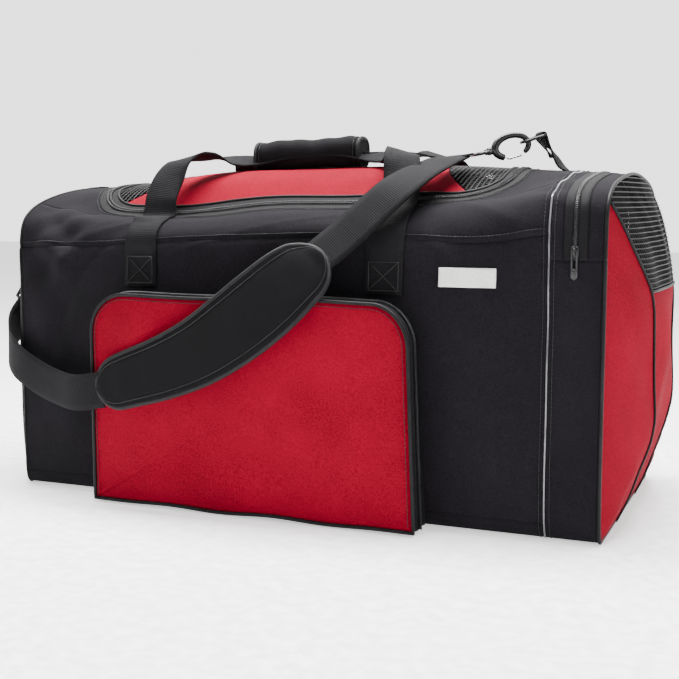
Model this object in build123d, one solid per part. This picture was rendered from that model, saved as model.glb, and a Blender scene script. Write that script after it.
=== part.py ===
"""Hockey equipment bag: a soft sports duffel with a zip lid, a front pocket and an end pocket.

Millimetres. +X runs along the bag towards the end pocket, -Y is the front, +Z is up.
The origin is the centre of the main compartment's base, on the surface it stands on.
"""

import os
from math import cos, radians, sin

from build123d import *

# Driving dimensions
BODY_HALF = 388.0        # half the main compartment's length
HALF_DEPTH = 205.0       # half the bag's depth, front to back
WALL = 3.0               # lined fabric wall
PANEL_SEAM_Z = 365.0     # seam between the side panels and the top
BASE_SEAM_Z = 20.0       # seam between the side panels and the base
GUSSET_END = 455.0       # where the end pocket's gusset meets its outer panel
END_BULGE = 50.0         # how far the end pocket's outer panel stands out
LEFT_BULGE = 30.0
LID_HALF = 308.0         # half the lid's length
LID_REACH = 135.0        # half the lid's depth; its hinge lies at +LID_REACH
LID_CORNER = 70.0
LID_GAP = 1.5
TAPE = 14.0              # width of a zipper tape with its coil
MESH_START = 205.0       # the lid is mesh beyond this distance from its middle
FOLD_Z = 346.0           # fold line of the end pocket's flap
END_ZIP_X = 419.0        # the end pocket's zipper runs round the gusset here
POCKET_HALF = 234.0
POCKET_TOP = 290.0
POCKET_FOOT = 4.0
POCKET_FRONT = -250.0
POCKET_ZIP = -227.0
WEB = 50.0               # webbing width
WEB_THICK = 3.0
HANDLE_X = 178.0         # where each carry handle's legs are sewn
GAP = 0.5                # clearance between pieces of different bodies


class Section:
    """The bag's outline across its length: flat base, upright sides, rounded shoulders and a crown."""

    def __init__(self, shoulder_z, peak_z, shoulder_r, peak_r):
        self.shoulder_z = shoulder_z
        self.peak_z = peak_z
        self.shoulder_r = shoulder_r
        self.peak_r = peak_r

    def face(self, x, inset=0.0, shrink=0.0):
        """The outline as a face at x, inset by a wall's thickness and drawn in by shrink."""
        side = HALF_DEPTH - inset - shrink
        low = inset + shrink * 0.4
        shoulder = self.shoulder_z - inset - shrink * 0.6
        peak = self.peak_z - inset - shrink * 0.6
        corners = [(-side, low), (side, low), (side, shoulder), (0, peak), (-side, shoulder)]
        outline = Polyline(*corners, close=True)
        face = make_face(outline)
        base = [v for v in face.vertices() if v.Y < low + 1]
        face = fillet(base, 22.0 - inset)
        shoulders = [v for v in face.vertices() if abs(v.X) > side - 1 and v.Y > shoulder - 1]
        face = fillet(shoulders, self.shoulder_r - inset)
        top = [v for v in face.vertices() if v.Y > peak - 1]
        face = fillet(top, self.peak_r - inset)
        return Plane(origin=(x, 0, 0), x_dir=(0, 1, 0), z_dir=(1, 0, 0)) * face


LEFT = Section(shoulder_z=375.0, peak_z=455.0, shoulder_r=70.0, peak_r=260.0)
SOFT = Section(shoulder_z=385.0, peak_z=490.0, shoulder_r=80.0, peak_r=250.0)
FIRM = Section(shoulder_z=424.0, peak_z=470.0, shoulder_r=50.0, peak_r=380.0)


def box(x0, x1, y0, y1, z0, z1):
    size = (x1 - x0, y1 - y0, z1 - z0)
    centre = ((x0 + x1) / 2, (y0 + y1) / 2, (z0 + z1) / 2)
    return Pos(*centre) * Box(*size)


def tube(x0, first, x1, second, wall=WALL):
    """A hollow length of the bag between two sections."""
    outer = loft([first.face(x0), second.face(x1)], ruled=True)
    inner = loft([first.face(x0, wall), second.face(x1, wall)], ruled=True)
    return outer - inner


def bulged_end(section, x, bulge, shrink):
    """A shallow dome of fabric that closes the bag at x and stands out by bulge."""
    step = 1 if bulge > 0 else -1
    outer = loft([section.face(x), section.face(x + bulge, 0, shrink)], ruled=True)
    inner = loft([section.face(x, WALL), section.face(x + bulge - step * WALL, WALL, shrink)], ruled=True)
    return outer - inner


def lid_prism(grow):
    """The lid's outline, grown outward at its front and ends, as a tall prism."""
    depth = 2 * LID_REACH + grow
    plan = Pos(0, -grow / 2) * Rectangle(2 * (LID_HALF + grow), depth)
    front = [v for v in plan.vertices() if v.Y < 0]
    plan = fillet(front, LID_CORNER + grow)
    return Pos(0, 0, 300) * extrude(plan, 260)


def pocket_prism(inset, y0, y1):
    """The front pocket's outline between two depths."""
    half = POCKET_HALF - inset
    low = POCKET_FOOT
    high = POCKET_TOP - inset
    face = make_face(Polyline((-half, low), (half, low), (half, high), (-half, high), close=True))
    top = [v for v in face.vertices() if v.Y > high - 1]
    face = fillet(top, 52.0 - inset)
    plane = Plane(origin=(0, y1, 0), x_dir=(1, 0, 0), z_dir=(0, -1, 0))
    return extrude(plane * face, y1 - y0)


def webbing(stations, thick=WEB_THICK):
    """A strap through stations of (centre, direction along, direction across, width)."""
    faces = []
    for centre, along, across, width in stations:
        plane = Plane(origin=centre, x_dir=across, z_dir=along)
        faces.append(plane * Rectangle(width, thick))
    return loft(faces, ruled=True)


def strap_run(points, thick):
    """A strap through (point, width, outward direction of its face) stations."""
    stations = []
    for n, (point, width, facing) in enumerate(points):
        before = Vector(points[max(n - 1, 0)][0])
        after = Vector(points[min(n + 1, len(points) - 1)][0])
        along = (after - before).normalized()
        across = Vector(facing).cross(along).normalized()
        stations.append((Vector(point), along, across, width))
    return webbing(stations, thick)


def mirrored(stations):
    """Stations given for +X, carried on in reverse order on the -X side."""
    carried = []
    for centre, along, across, width in reversed(stations):
        carried.append((
            (-centre[0], centre[1], centre[2]),
            (along[0], -along[1], -along[2]),
            (-across[0], across[1], across[2]),
            width,
        ))
    return carried


def lateral_band(section, x, out, width):
    """A ring of piping over a seam, from the floor round the top."""
    ring = extrude(section.face(x, -out) - section.face(x), width)
    return ring & box(-REACH, REACH, -REACH, REACH, 0.0, REACH)


def slider(plane):
    """A zipper slider: a plate with a bridge that holds the pull's pin. Its own +X is the way it runs."""
    plate = Pos(0, 0, 1.6) * Box(14, 9, 2.6)
    bridge = Pos(0, 0, 5.0) * (Box(10, 3.6, 4.4) - Pos(1.5, 0, -0.4) * Box(4.2, 5, 2.6))
    return plane * (plate + bridge)


def pull(plane, length):
    """A pull: a pin under the slider's bridge and a moulded loop on it."""
    pin = Pos(1.5, 0, 4.6) * Rot(90, 0, 0) * Cylinder(0.9, 6.4)
    tab = Box(length, 7.0, 1.8) - Pos(length * 0.1, 0, 0) * Box(length * 0.6, 3.0, 3.0)
    loop = Pos(1.5 - length / 2 + 0.6, 0, 4.6) * tab
    notch = Pos(1.5, 0, 4.6) * Box(14.0, 4.4, 6.0)
    return plane * ((loop - notch) + pin)


pieces = {}


def add(name, shape):
    pieces[name] = shape


REACH = 600.0

# Main compartment: one hollow shell cut along the seams into its panels
shell = tube(-BODY_HALF, LEFT, -250.0, SOFT)
shell += tube(-250.0, SOFT, 250.0, SOFT)
shell += tube(250.0, SOFT, BODY_HALF, FIRM)
add("bottom_panel", shell & box(-REACH, REACH, -REACH, REACH, -1, BASE_SEAM_Z))
add("front_panel", shell & box(-REACH, REACH, -REACH, 0, BASE_SEAM_Z, PANEL_SEAM_Z))
add("back_panel", shell & box(-REACH, REACH, 0, REACH, BASE_SEAM_Z, PANEL_SEAM_Z))
crown = shell & box(-REACH, REACH, -REACH, REACH, PANEL_SEAM_Z, REACH)
around_tape = lid_prism(TAPE)
frame_top = crown - around_tape
strip_y = LID_REACH + TAPE
add("top_front_strip", frame_top & box(-REACH, REACH, -REACH, -strip_y, 0, REACH))
add("top_back_strip", frame_top & box(-REACH, REACH, LID_REACH, REACH, 0, REACH))
add("top_left_strip", frame_top & box(-REACH, 0, -strip_y, LID_REACH, 0, REACH))
add("top_right_strip", frame_top & box(0, REACH, -strip_y, LID_REACH, 0, REACH))
add("lid_opening_zipper_tape", (crown & around_tape) - lid_prism(LID_GAP) - box(
    -REACH, REACH, LID_REACH, REACH, 0, REACH))
add("left_end_panel", bulged_end(LEFT, -BODY_HALF, -LEFT_BULGE, 30.0))
DIVIDER_INSET = WALL + 2.0
add("divider_panel", extrude(FIRM.face(BODY_HALF - WALL - 2, DIVIDER_INSET), WALL))
add("base_board", box(-BODY_HALF + 12, BODY_HALF - 12, -HALF_DEPTH + 25, HALF_DEPTH - 25, 3.2, 7.2))

# Lid: tape round the edge, red middle, mesh at both ends, folding on its back seam
lid_all = (crown & lid_prism(0)) & box(-REACH, REACH, -REACH, LID_REACH - 4, 0, REACH)
lid_field = lid_all & lid_prism(-TAPE)
add("lid_zipper_tape", lid_all - lid_prism(-TAPE))
add("lid_centre_panel", lid_field & box(-MESH_START, MESH_START, -REACH, REACH, 0, REACH))
add("lid_mesh_left", lid_field & box(-REACH, -MESH_START, -REACH, REACH, 0, REACH))
add("lid_mesh_right", lid_field & box(MESH_START, REACH, -REACH, REACH, 0, REACH))

# Piping over the main seams
PIPE_OUT = 2.5
PIPE_WIDTH = 4.0
add("left_seam_piping", lateral_band(LEFT, -BODY_HALF - PIPE_WIDTH, PIPE_OUT, PIPE_WIDTH))
add("right_seam_piping", lateral_band(FIRM, BODY_HALF - PIPE_WIDTH / 2, PIPE_OUT, PIPE_WIDTH))

# End pocket: gusset with a zipper over its middle, and a domed outer panel whose upper part folds down
above_fold = box(-REACH, REACH, -REACH, REACH, FOLD_Z, REACH)
above_flap = box(-REACH, REACH, -REACH, REACH, FOLD_Z + GAP, REACH)
below_fold = box(-REACH, REACH, -REACH, REACH, -1, FOLD_Z)
HALF_GAP = 0.75
TAPE_END = 10.0
inner_edge = END_ZIP_X - HALF_GAP
outer_edge = END_ZIP_X + HALF_GAP
add("end_gusset_inner", tube(BODY_HALF, FIRM, inner_edge - TAPE_END, FIRM) & above_fold)
add("end_zipper_tape_inner", tube(inner_edge - TAPE_END, FIRM, inner_edge, FIRM) & above_fold)
add("end_zipper_tape_outer", tube(outer_edge, FIRM, outer_edge + TAPE_END, FIRM) & above_flap)
add("end_gusset_outer", tube(outer_edge + TAPE_END, FIRM, GUSSET_END, FIRM) & above_flap)
add("end_gusset_lower", tube(BODY_HALF, FIRM, GUSSET_END, FIRM) & below_fold)
END_SHRINK = 45.0
MESH_REACH = 128.0       # half the mesh panel's width
dome = bulged_end(FIRM, GUSSET_END, END_BULGE, END_SHRINK)
add("end_panel_lower", dome & below_fold)
add("end_mesh_panel", dome & above_flap & box(0, REACH, -MESH_REACH, MESH_REACH, 0, REACH))
wings = dome & above_flap
add("end_wings", wings - box(0, REACH, -MESH_REACH, MESH_REACH, 0, REACH))
end_piping = lateral_band(FIRM, GUSSET_END - PIPE_WIDTH / 2, PIPE_OUT, PIPE_WIDTH)
add("end_piping_lower", end_piping & below_fold)
add("end_piping_upper", end_piping & above_flap)

# Front pocket: a flap of the red panel and half the gusset, zipped to the half sewn to the bag
FACE = -HALF_DEPTH - 0.3
ZIP_GAP = 1.0
TAPE_POCKET = 8.0


def pocket_ring(y0, y1):
    return pocket_prism(0, y0, y1) - pocket_prism(WALL, y0, y1)


rear_tape = POCKET_ZIP + ZIP_GAP
front_tape = POCKET_ZIP - ZIP_GAP
add("pocket_gusset_rear", pocket_ring(rear_tape + TAPE_POCKET, FACE))
add("pocket_zipper_tape_rear", pocket_ring(rear_tape, rear_tape + TAPE_POCKET))
add("pocket_zipper_tape_front", pocket_ring(front_tape - TAPE_POCKET, front_tape))
add("pocket_gusset_front", pocket_ring(POCKET_FRONT + WALL, front_tape - TAPE_POCKET))
add("pocket_front_panel", pocket_prism(0, POCKET_FRONT, POCKET_FRONT + WALL))
pocket_band = pocket_prism(-PIPE_OUT, POCKET_FRONT - 1.0, POCKET_FRONT + WALL)
add("pocket_piping", pocket_band - pocket_prism(0, POCKET_FRONT - 2.0, POCKET_FRONT + WALL + 1))
add("pocket_base_panel", box(-POCKET_HALF + 4, POCKET_HALF - 4, POCKET_FRONT + 5, FACE, 4.0, 7.0))

# Woven label on the front, right of the pocket
add("label_patch", box(250, 322, FACE - 1.0, FACE, 310, 334))

# Carry handles: legs stitched to the bag up to the shoulder, then a loop that folds outward
SHOULDER_Z = 336.1
OVER = 0.3 + WEB_THICK / 2
LEG_FOOT = 303.0
shoulder_y = -HALF_DEPTH + SOFT.shoulder_r
leg_points = [((HANDLE_X, -HALF_DEPTH - OVER, LEG_FOOT), WEB, (0, -1, 0))]
for turn in range(0, 57, 8):
    out = (0, -cos(radians(turn)), sin(radians(turn)))
    radius = SOFT.shoulder_r + OVER
    point = (HANDLE_X, shoulder_y + radius * out[1], SHOULDER_Z + radius * out[2])
    leg_points.append((point, WEB, out))
front_leg = strap_run(leg_points, WEB_THICK)
front_legs = Compound([front_leg, mirror(front_leg, about=Plane.YZ)])
add("front_handle_legs", front_legs)
add("back_handle_legs", mirror(front_legs, about=Plane.XZ))
WRAP_Z = 484.0
GRIP_WEB = 36.0          # the webbing is folded narrower inside the wrap
loop_stations = [
    ((HANDLE_X, -170.5, 406.5), (0, 0.60, 0.80), (1, 0, 0), WEB),
    ((174, -144, 440), (-0.10, 0.60, 0.80), (1, 0, 0), WEB),
    ((160, -110, 468), (-0.40, 0.75, 0.50), (0.90, 0.40, 0.15), WEB),
    ((148, -66, 484), (-0.75, 0.65, 0.12), (0.45, 0.40, 0.80), WEB),
    ((119, -27, 485), (-0.88, 0.45, 0), (0.12, 0.20, 0.97), 44.0),
    ((92, -12, WRAP_Z), (-1, 0.05, 0), (0, 0, 1), GRIP_WEB),
]
front_loop = webbing(loop_stations + mirrored(loop_stations))
add("front_handle_loop", front_loop)
add("back_handle_loop", mirror(front_loop, about=Plane.XZ))
WRAP_HALF = 90.0
wrap = extrude(Plane(origin=(-WRAP_HALF, 0, WRAP_Z), x_dir=(0, 1, 0), z_dir=(1, 0, 0)) * (
    fillet(Rectangle(46, 48).vertices(), 10) - fillet(Rectangle(36, 42).vertices(), 6)), 2 * WRAP_HALF)
add("handle_wrap", wrap)

# Right clip: webbing tab, D-ring, snap hook with gate, and the swivel eye that the strap is sewn round
CLIP_Z = 495.0
TAB_BASE_X = 357.0
LEAN = radians(30.0)     # the strap pulls the clip round towards the front
toward_hook = Vector(-cos(LEAN), -sin(LEAN), 0)
along_bar = Vector(-sin(LEAN), cos(LEAN), 0)
HOOK_REACH = 41.0        # from the D-ring's bar to the middle of the hook
WEB_REACH = 58.0         # from the middle of the hook to the strap's fold
add("right_ring_tab", webbing([
    ((TAB_BASE_X, 0, 463), (-0.45, 0, 0.89), (0, 1, 0), 25.0),
    ((TAB_BASE_X - 15, 0, 482), (-0.60, 0, 0.80), along_bar, 25.0),
    ((TAB_BASE_X - 24, 0, 497.5), (-0.60, 0, 0.80), along_bar, 25.0),
]))


def d_ring(plane):
    """A D-ring: a straight bar along the plane's X and a bow that reaches along its Y."""
    outer = Pos(0, 5) * Rectangle(38, 14) + Pos(0, 12) * Circle(19)
    inner = Pos(0, 7) * Rectangle(30, 10) + Pos(0, 12) * Circle(15)
    bound = Pos(0, 20) * Rectangle(60, 44)
    band = (outer & bound) - (inner & (Pos(0, 22) * Rectangle(60, 40)))
    return plane * extrude(band, 2.0, both=True)


def snap_hook(plane):
    """An oval hook whose underside is open for the gate; its own +X points at the D-ring."""
    oval = Ellipse(26, 17) - Ellipse(21.5, 12.5)
    ring = extrude(oval, 3.5, both=True)
    mouth = Pos(1, -15, 0) * Box(28, 12, 12)
    return plane * (ring - mouth)


def hook_gate(plane):
    """The sprung gate across the hook's mouth, on its pin."""
    bar = Pos(0.5, -14.7, 0) * Rot(0, 90, 0) * Cylinder(1.6, 25)
    pin = Pos(-10.0, -14.7, 0) * Cylinder(1.9, 7)
    return plane * (bar + pin)


def swivel_eye(plane):
    """A barrel behind the hook and a flat eye that the strap passes through."""
    barrel = Pos(-31.5, 0, 0) * Rot(0, 90, 0) * Cylinder(4.5, 10)
    eye = Pos(-46.0, 0, 0) * (Box(20, 4, 62) - Box(12, 6, 53))
    return plane * (barrel + eye)


def clip(side, hook_plane, ring_plane):
    add(side + "_d_ring", d_ring(ring_plane))
    add(side + "_snap_hook", snap_hook(hook_plane))
    add(side + "_hook_gate", hook_gate(hook_plane))
    add(side + "_swivel_eye", swivel_eye(hook_plane))


right_ring = Vector(TAB_BASE_X - 28, 0, CLIP_Z + 12)
right_hook = Vector(right_ring.X, right_ring.Y, CLIP_Z) + toward_hook * HOOK_REACH
RING_DIP = 0.32
clip(
    "right",
    Plane(origin=right_hook, x_dir=-toward_hook, z_dir=Vector(0, 0, 1).cross(toward_hook)),
    Plane(origin=right_ring, x_dir=along_bar, z_dir=toward_hook * RING_DIP + Vector(0, 0, 0.95)),
)

# Left clip: hangs down the left end from its tab
LEFT_HANG = -BODY_HALF - LEFT_BULGE - 19.0
add("left_ring_tab", strap_run([
    ((-374, 0, 443), 25.0, (0, 0, 1)),
    ((-402, 0, 441), 25.0, (-0.15, 0, 1)),
    ((-427, 0, 427), 25.0, (-0.8, 0, 0.6)),
    ((-437, 0, 403), 25.0, (-1, 0, 0.1)),
], WEB_THICK))
left_ring = Vector(LEFT_HANG, 0, 399)
left_up = Vector(0, 0.6, 0.8)
left_hook = left_ring - left_up * HOOK_REACH
clip(
    "left",
    Plane(origin=left_hook, x_dir=left_up, z_dir=(0, 0.8, -0.6)),
    Plane(origin=left_ring, x_dir=(0, 1, 0), z_dir=(-1, 0, 0)),
)

# Shoulder strap: webbing each side of a curved pad that lies on the front pocket
add("strap_web_right", strap_run([
    (right_hook + toward_hook * WEB_REACH, WEB, (0, 0, 1)),
    (right_hook + toward_hook * (WEB_REACH + 16) - Vector(0, 0, 4), WEB, (0, 0, 1)),
    ((219, -86, 479), WEB, (0, -0.3, 1)),
    ((213, -112, 470), WEB, (0, -0.5, 1)),
    ((204, -144, 458), WEB, (0, -0.8, 1)),
    ((184, -183, 431), WEB, (0, -1, 0.7)),
    ((156, -205, 400), WEB, (0, -1, 0.35)),
    ((128, -221, 371), WEB, (0, -1, 0.15)),
    ((100, -238, 344), WEB, (0, -1, 0.15)),
], WEB_THICK))
PAD = 12.0
add("shoulder_pad", strap_run([
    ((97, -240, 341), 60.0, (0, -1, 0.15)),
    ((74, -256, 320), 88.0, (0, -1, 0.15)),
    ((38, -266, 288), 96.0, (0, -1, 0.1)),
    ((-8, -268, 253), 92.0, (0, -1, 0)),
    ((-56, -268, 222), 86.0, (0, -1, 0)),
    ((-110, -268, 197), 78.0, (0, -1, 0)),
    ((-165, -267, 178), 68.0, (0, -1, 0)),
    ((-206, -266, 162), 50.0, (0, -1, 0)),
], PAD))
add("strap_web_left", strap_run([
    ((-212, -265, 160), WEB, (0, -1, 0)),
    ((-255, -260, 153), WEB, (-0.1, -1, 0)),
    ((-300, -242, 156), WEB, (-0.35, -1, 0)),
    ((-345, -226, 166), WEB, (-0.3, -1, 0)),
    ((-385, -216, 184), WEB, (-0.5, -1, 0)),
    ((-418, -192, 205), WEB, (-1, -0.9, 0)),
    ((-438, -150, 230), WEB, (-1, -0.3, 0)),
    ((-439, -112, 260), WEB, (-1, 0, 0)),
    ((-438, -82, 291), WEB, (-1, 0, 0)),
    (left_hook - left_up * WEB_REACH, WEB, (-1, 0, 0)),
], WEB_THICK))
add("strap_adjuster", Plane(origin=(-443.5, -112, 260), x_dir=(0, 0.7, 0.71), z_dir=(-1, 0, 0)) * (
    Box(22, 58, 3) - Pos(-5, 0, 0) * Box(5, 51, 4) - Pos(5, 0, 0) * Box(5, 51, 4)))

# Zipper sliders and their pulls
ZIP_LIFT = 0.4
lid_slider_at = (190, -LID_REACH - HALF_GAP, 421.6 + ZIP_LIFT)
lid_plane = Plane(origin=lid_slider_at, x_dir=(1, 0, 0), z_dir=(0, -0.45, 0.89))
add("lid_slider", slider(lid_plane))
add("lid_pull", pull(lid_plane, 26.0))
pocket_plane = Plane(origin=(-POCKET_HALF - ZIP_LIFT, POCKET_ZIP, 85), x_dir=(0, 0, 1), z_dir=(-1, 0, 0))
add("pocket_slider", slider(pocket_plane))
add("pocket_pull", pull(pocket_plane, 40.0))
end_plane = Plane(origin=(END_ZIP_X, -HALF_DEPTH - ZIP_LIFT, 356), x_dir=(0, 0, 1), z_dir=(0, -1, 0))
add("end_slider", slider(end_plane))
add("end_pull", pull(end_plane, 34.0))

os.makedirs("parts", exist_ok=True)
for name, shape in pieces.items():
    export_step(shape, f"parts/{name}.step")
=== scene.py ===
"""Hockey equipment bag: the visible fabric, zippers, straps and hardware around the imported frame. Metres."""

import math

import bpy
import numpy as np
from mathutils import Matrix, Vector


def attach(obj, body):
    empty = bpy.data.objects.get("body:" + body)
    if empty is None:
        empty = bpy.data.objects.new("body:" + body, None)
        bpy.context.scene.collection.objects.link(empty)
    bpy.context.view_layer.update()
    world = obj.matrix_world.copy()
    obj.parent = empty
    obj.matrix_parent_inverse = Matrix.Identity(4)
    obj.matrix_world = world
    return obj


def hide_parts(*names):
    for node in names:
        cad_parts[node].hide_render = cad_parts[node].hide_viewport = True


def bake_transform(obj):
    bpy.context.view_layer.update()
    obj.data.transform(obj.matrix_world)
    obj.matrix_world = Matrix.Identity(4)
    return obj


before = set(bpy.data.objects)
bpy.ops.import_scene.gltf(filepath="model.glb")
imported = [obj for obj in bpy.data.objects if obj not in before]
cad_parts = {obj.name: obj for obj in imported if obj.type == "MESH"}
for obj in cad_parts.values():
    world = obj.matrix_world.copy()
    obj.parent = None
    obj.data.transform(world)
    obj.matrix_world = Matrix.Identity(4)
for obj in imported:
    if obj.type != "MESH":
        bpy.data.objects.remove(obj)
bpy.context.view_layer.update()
rng = np.random.default_rng(7)

# ---- the bag's soft shape
# Places along the bag, and there the half widths and heights of the half outline's control points
ALONG = np.array([-0.388, -0.31, -0.20, 0.0, 0.20, 0.31, 0.388, 0.455])
PROFILE = {
    "low_w": (0.200, 0.206, 0.210, 0.210, 0.208, 0.206, 0.206, 0.204),
    "belly_w": (0.199, 0.207, 0.212, 0.212, 0.211, 0.208, 0.206, 0.205),
    "chest_w": (0.198, 0.203, 0.206, 0.206, 0.206, 0.206, 0.205, 0.204),
    "seam_w": (0.198, 0.199, 0.199, 0.199, 0.200, 0.202, 0.204, 0.203),
    "seam_z": (0.350, 0.352, 0.358, 0.367, 0.369, 0.366, 0.376, 0.376),
    "edge_w": (0.184, 0.180, 0.177, 0.178, 0.179, 0.184, 0.195, 0.194),
    "edge_z": (0.392, 0.388, 0.383, 0.393, 0.397, 0.406, 0.419, 0.417),
    "zip_w": (0.137, 0.137, 0.137, 0.137, 0.137, 0.140, 0.155, 0.155),
    "zip_z": (0.416, 0.402, 0.397, 0.409, 0.4165, 0.424, 0.438, 0.436),
    "crown_z": (0.429, 0.430, 0.438, 0.450, 0.450, 0.445, 0.449, 0.447),
    "crest_z": (0.434, 0.440, 0.453, 0.466, 0.465, 0.456, 0.453, 0.451),
}
# Ring parameters of the base seam, the top seam and the top's edge, and of the whole ring
BASE_SEAM, SEAM, TOP_EDGE, LAST = 3.4, 7, 8, 22

LEFT_X, RIGHT_X, END_X = -0.388, 0.388, 0.455
FLOOR_GAP = 0.0006
CLOTH, TAPE_CLOTH, POCKET_CLOTH = 0.002, 0.0016, 0.0018


def span(a, b, count):
    """Evenly spread numbers from a to b."""
    return np.linspace(a, b, count)


def hermite(x, xs, ys):
    """A smooth curve through (xs, ys), read at x."""
    slope = np.gradient(ys, xs)
    k = np.clip(np.searchsorted(xs, x) - 1, 0, len(xs) - 2)
    h = xs[k + 1] - xs[k]
    t = np.clip((x - xs[k]) / h, 0.0, 1.0)
    a = (1 + 2 * t) * (1 - t) ** 2
    b = t * (1 - t) ** 2
    c = t * t * (3 - 2 * t)
    d = t * t * (t - 1)
    return a * ys[k] + b * h * slope[k] + c * ys[k + 1] + d * h * slope[k + 1]


def outline(x):
    """Control points of the ring across the bag at x: from the base's middle, up the front, down the back."""
    x = np.asarray(x, float)
    read = {name: hermite(x, ALONG, np.array(values)) for name, values in PROFILE.items()}
    zero = np.zeros_like(x)
    half = [
        (zero, zero), (zero + 0.10, zero), (zero + 0.172, zero), (zero + 0.1965, zero + 0.008),
        (read["low_w"], zero + 0.060), (read["belly_w"], zero + 0.180), (read["chest_w"], zero + 0.300),
        (read["seam_w"], read["seam_z"]), (read["edge_w"], read["edge_z"]),
        (read["zip_w"], read["zip_z"]), (zero + 0.075, read["crown_z"]), (zero, read["crest_z"]),
    ]
    front = [(-w, z) for w, z in half]
    back = [(w, z) for w, z in half[-2:0:-1]]
    ring = front + back
    return np.stack([np.stack(pair, -1) for pair in ring], -2)


def spline(points, p):
    """A closed Catmull-Rom curve through points, read at p."""
    count = points.shape[-2]
    k = np.floor(p).astype(int)
    t = (p - k)[..., None]
    rows = np.arange(points.shape[0])
    a, b, c, d = (points[rows, (k + n) % count] for n in (-1, 0, 1, 2))
    return b + 0.5 * t * (c - a + t * (2 * a - 5 * b + 4 * c - d + t * (3 * (b - c) + d - a)))


# Slow waves: how fast along the bag and round it, shift, size
WAVES = [(rng.uniform(5, 26), rng.uniform(0.15, 1.1), rng.uniform(0, 6.3), rng.uniform(0.3, 1.0))
         for _ in range(9)]
# Folds: where along the bag and round it, how they lean, half width, height
FOLDS = (
    (-0.315, 6.3, 0.030, 0.013, 0.0042), (-0.285, 6.1, 0.045, 0.010, -0.0034),
    (-0.345, 7.5, -0.030, 0.014, 0.0036), (-0.24, 7.7, 0.10, 0.012, 0.0022),
    (0.02, 7.6, 0.16, 0.010, 0.0016), (0.27, 6.4, -0.05, 0.012, 0.0026),
    (0.36, 5.6, 0.010, 0.010, -0.0028), (0.414, 5.9, 0.012, 0.007, 0.0030),
    (0.428, 4.8, -0.014, 0.008, -0.0028), (0.33, 7.6, -0.07, 0.012, 0.0026),
)
# Dents: where along the bag, half width, depth, where round it.  Bumps: where along, where round.
DENTS = ((-0.20, 0.10, 0.006, 6.2), (0.10, 0.16, 0.004, 6.3), (0.31, 0.05, 0.005, 6.3))
BUMPS = ((-0.31, 4.4), (0.33, 4.6), (0.30, 6.9))


def relief(x, p):
    """How far the cloth stands out of its outline: slow unevenness, folds at the left, dents by the seams."""
    out = np.zeros_like(x)
    for fx, fp, shift, size in WAVES:
        out += 0.0011 * size * np.sin(fx * x + fp * p * 2.1 + shift)
    side = np.exp(-((x + 0.335) / 0.05) ** 2) * np.clip((x + 0.392) / 0.03, 0, 1)
    for centre, reach in ((6.9, 2.0), (15.1, 2.0)):
        near = np.exp(-((p - centre) / reach) ** 2) * side
        out += near * 0.0050 * np.sin(58 * (x + 0.36) + 3.4 * (p - centre))
        out += near * 0.0022 * np.sin(105 * (x + 0.36) - 5.0 * (p - centre) + 1.0)
    for place, width, depth, at in DENTS:
        out -= depth * np.exp(-((x - place) / width) ** 2 - ((p - at) / 0.55) ** 2)
    for place, at in BUMPS:
        out += 0.003 * np.exp(-((x - place) / 0.04) ** 2 - ((p - at) / 0.9) ** 2)
    for x0, p0, lean, width, size in FOLDS:
        across = (x - x0) - lean * (p - p0)
        out += size * np.exp(-(across / width) ** 2 - ((p - p0) / 1.1) ** 2)
        out += size * np.exp(-(across / width) ** 2 - ((LAST - p - p0) / 1.1) ** 2)
    pucker = np.exp(-((x - RIGHT_X) / 0.022) ** 2)
    pucker = pucker * np.clip((p - 4) / 1.5, 0, 1) * np.clip((18 - p) / 1.5, 0, 1)
    out += 0.0016 * pucker * np.sin(p * 6.5 + 30 * x)
    for centre in (SEAM, LAST - SEAM):
        out -= 0.0016 * np.exp(-((p - centre) / 0.07) ** 2)
    firm = np.clip((0.46 - x) / 0.09, 0.25, 1.0)
    base = np.clip((np.minimum(p, LAST - p) - 2.6) / 1.2, 0.0, 1.0)
    return out * firm * base


def bag(x, p, lift=0.0):
    """Points on the bag's surface at x and ring parameter p, raised by lift."""
    x, p = np.broadcast_arrays(np.asarray(x, float), np.asarray(p, float))
    shape = x.shape
    x, p = x.ravel(), p.ravel()
    ring = outline(x)
    at = spline(ring, p)
    tangent = spline(ring, p + 0.05) - spline(ring, p - 0.05)
    normal = np.stack([-tangent[:, 1], tangent[:, 0]], -1)
    normal /= np.linalg.norm(normal, axis=1)[:, None]
    at = at + normal * (relief(x, p) + np.broadcast_to(lift, shape).ravel())[:, None]
    return np.stack([x, at[:, 0], at[:, 1]], -1).reshape(*shape, 3)


def param_at(x, value, axis, low, high):
    """The ring parameter between low and high where the surface reaches value along Y (1) or Z (2)."""
    x, value = np.broadcast_arrays(np.asarray(x, float), np.asarray(value, float))
    steps = span(low, high, 90)
    flat_x, flat_v = x.ravel(), value.ravel()
    found = np.empty(len(flat_x))
    keys = np.round(flat_x, 5)
    for key in np.unique(keys):
        line = bag(np.full(len(steps), key), steps)[:, axis]
        mask = keys == key
        found[mask] = np.interp(flat_v[mask], line, steps)
    return found.reshape(x.shape)


def on_top(x, y, lift=0.0):
    """Points on the top of the bag, by plan position."""
    return bag(x, param_at(x, y, 1, 6.5, 15.5), lift)


def on_front(x, z, lift=0.0):
    """Points on the front of the bag, by x and height."""
    return bag(x, param_at(x, z, 2, 3.0, 10.0), lift)


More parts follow.
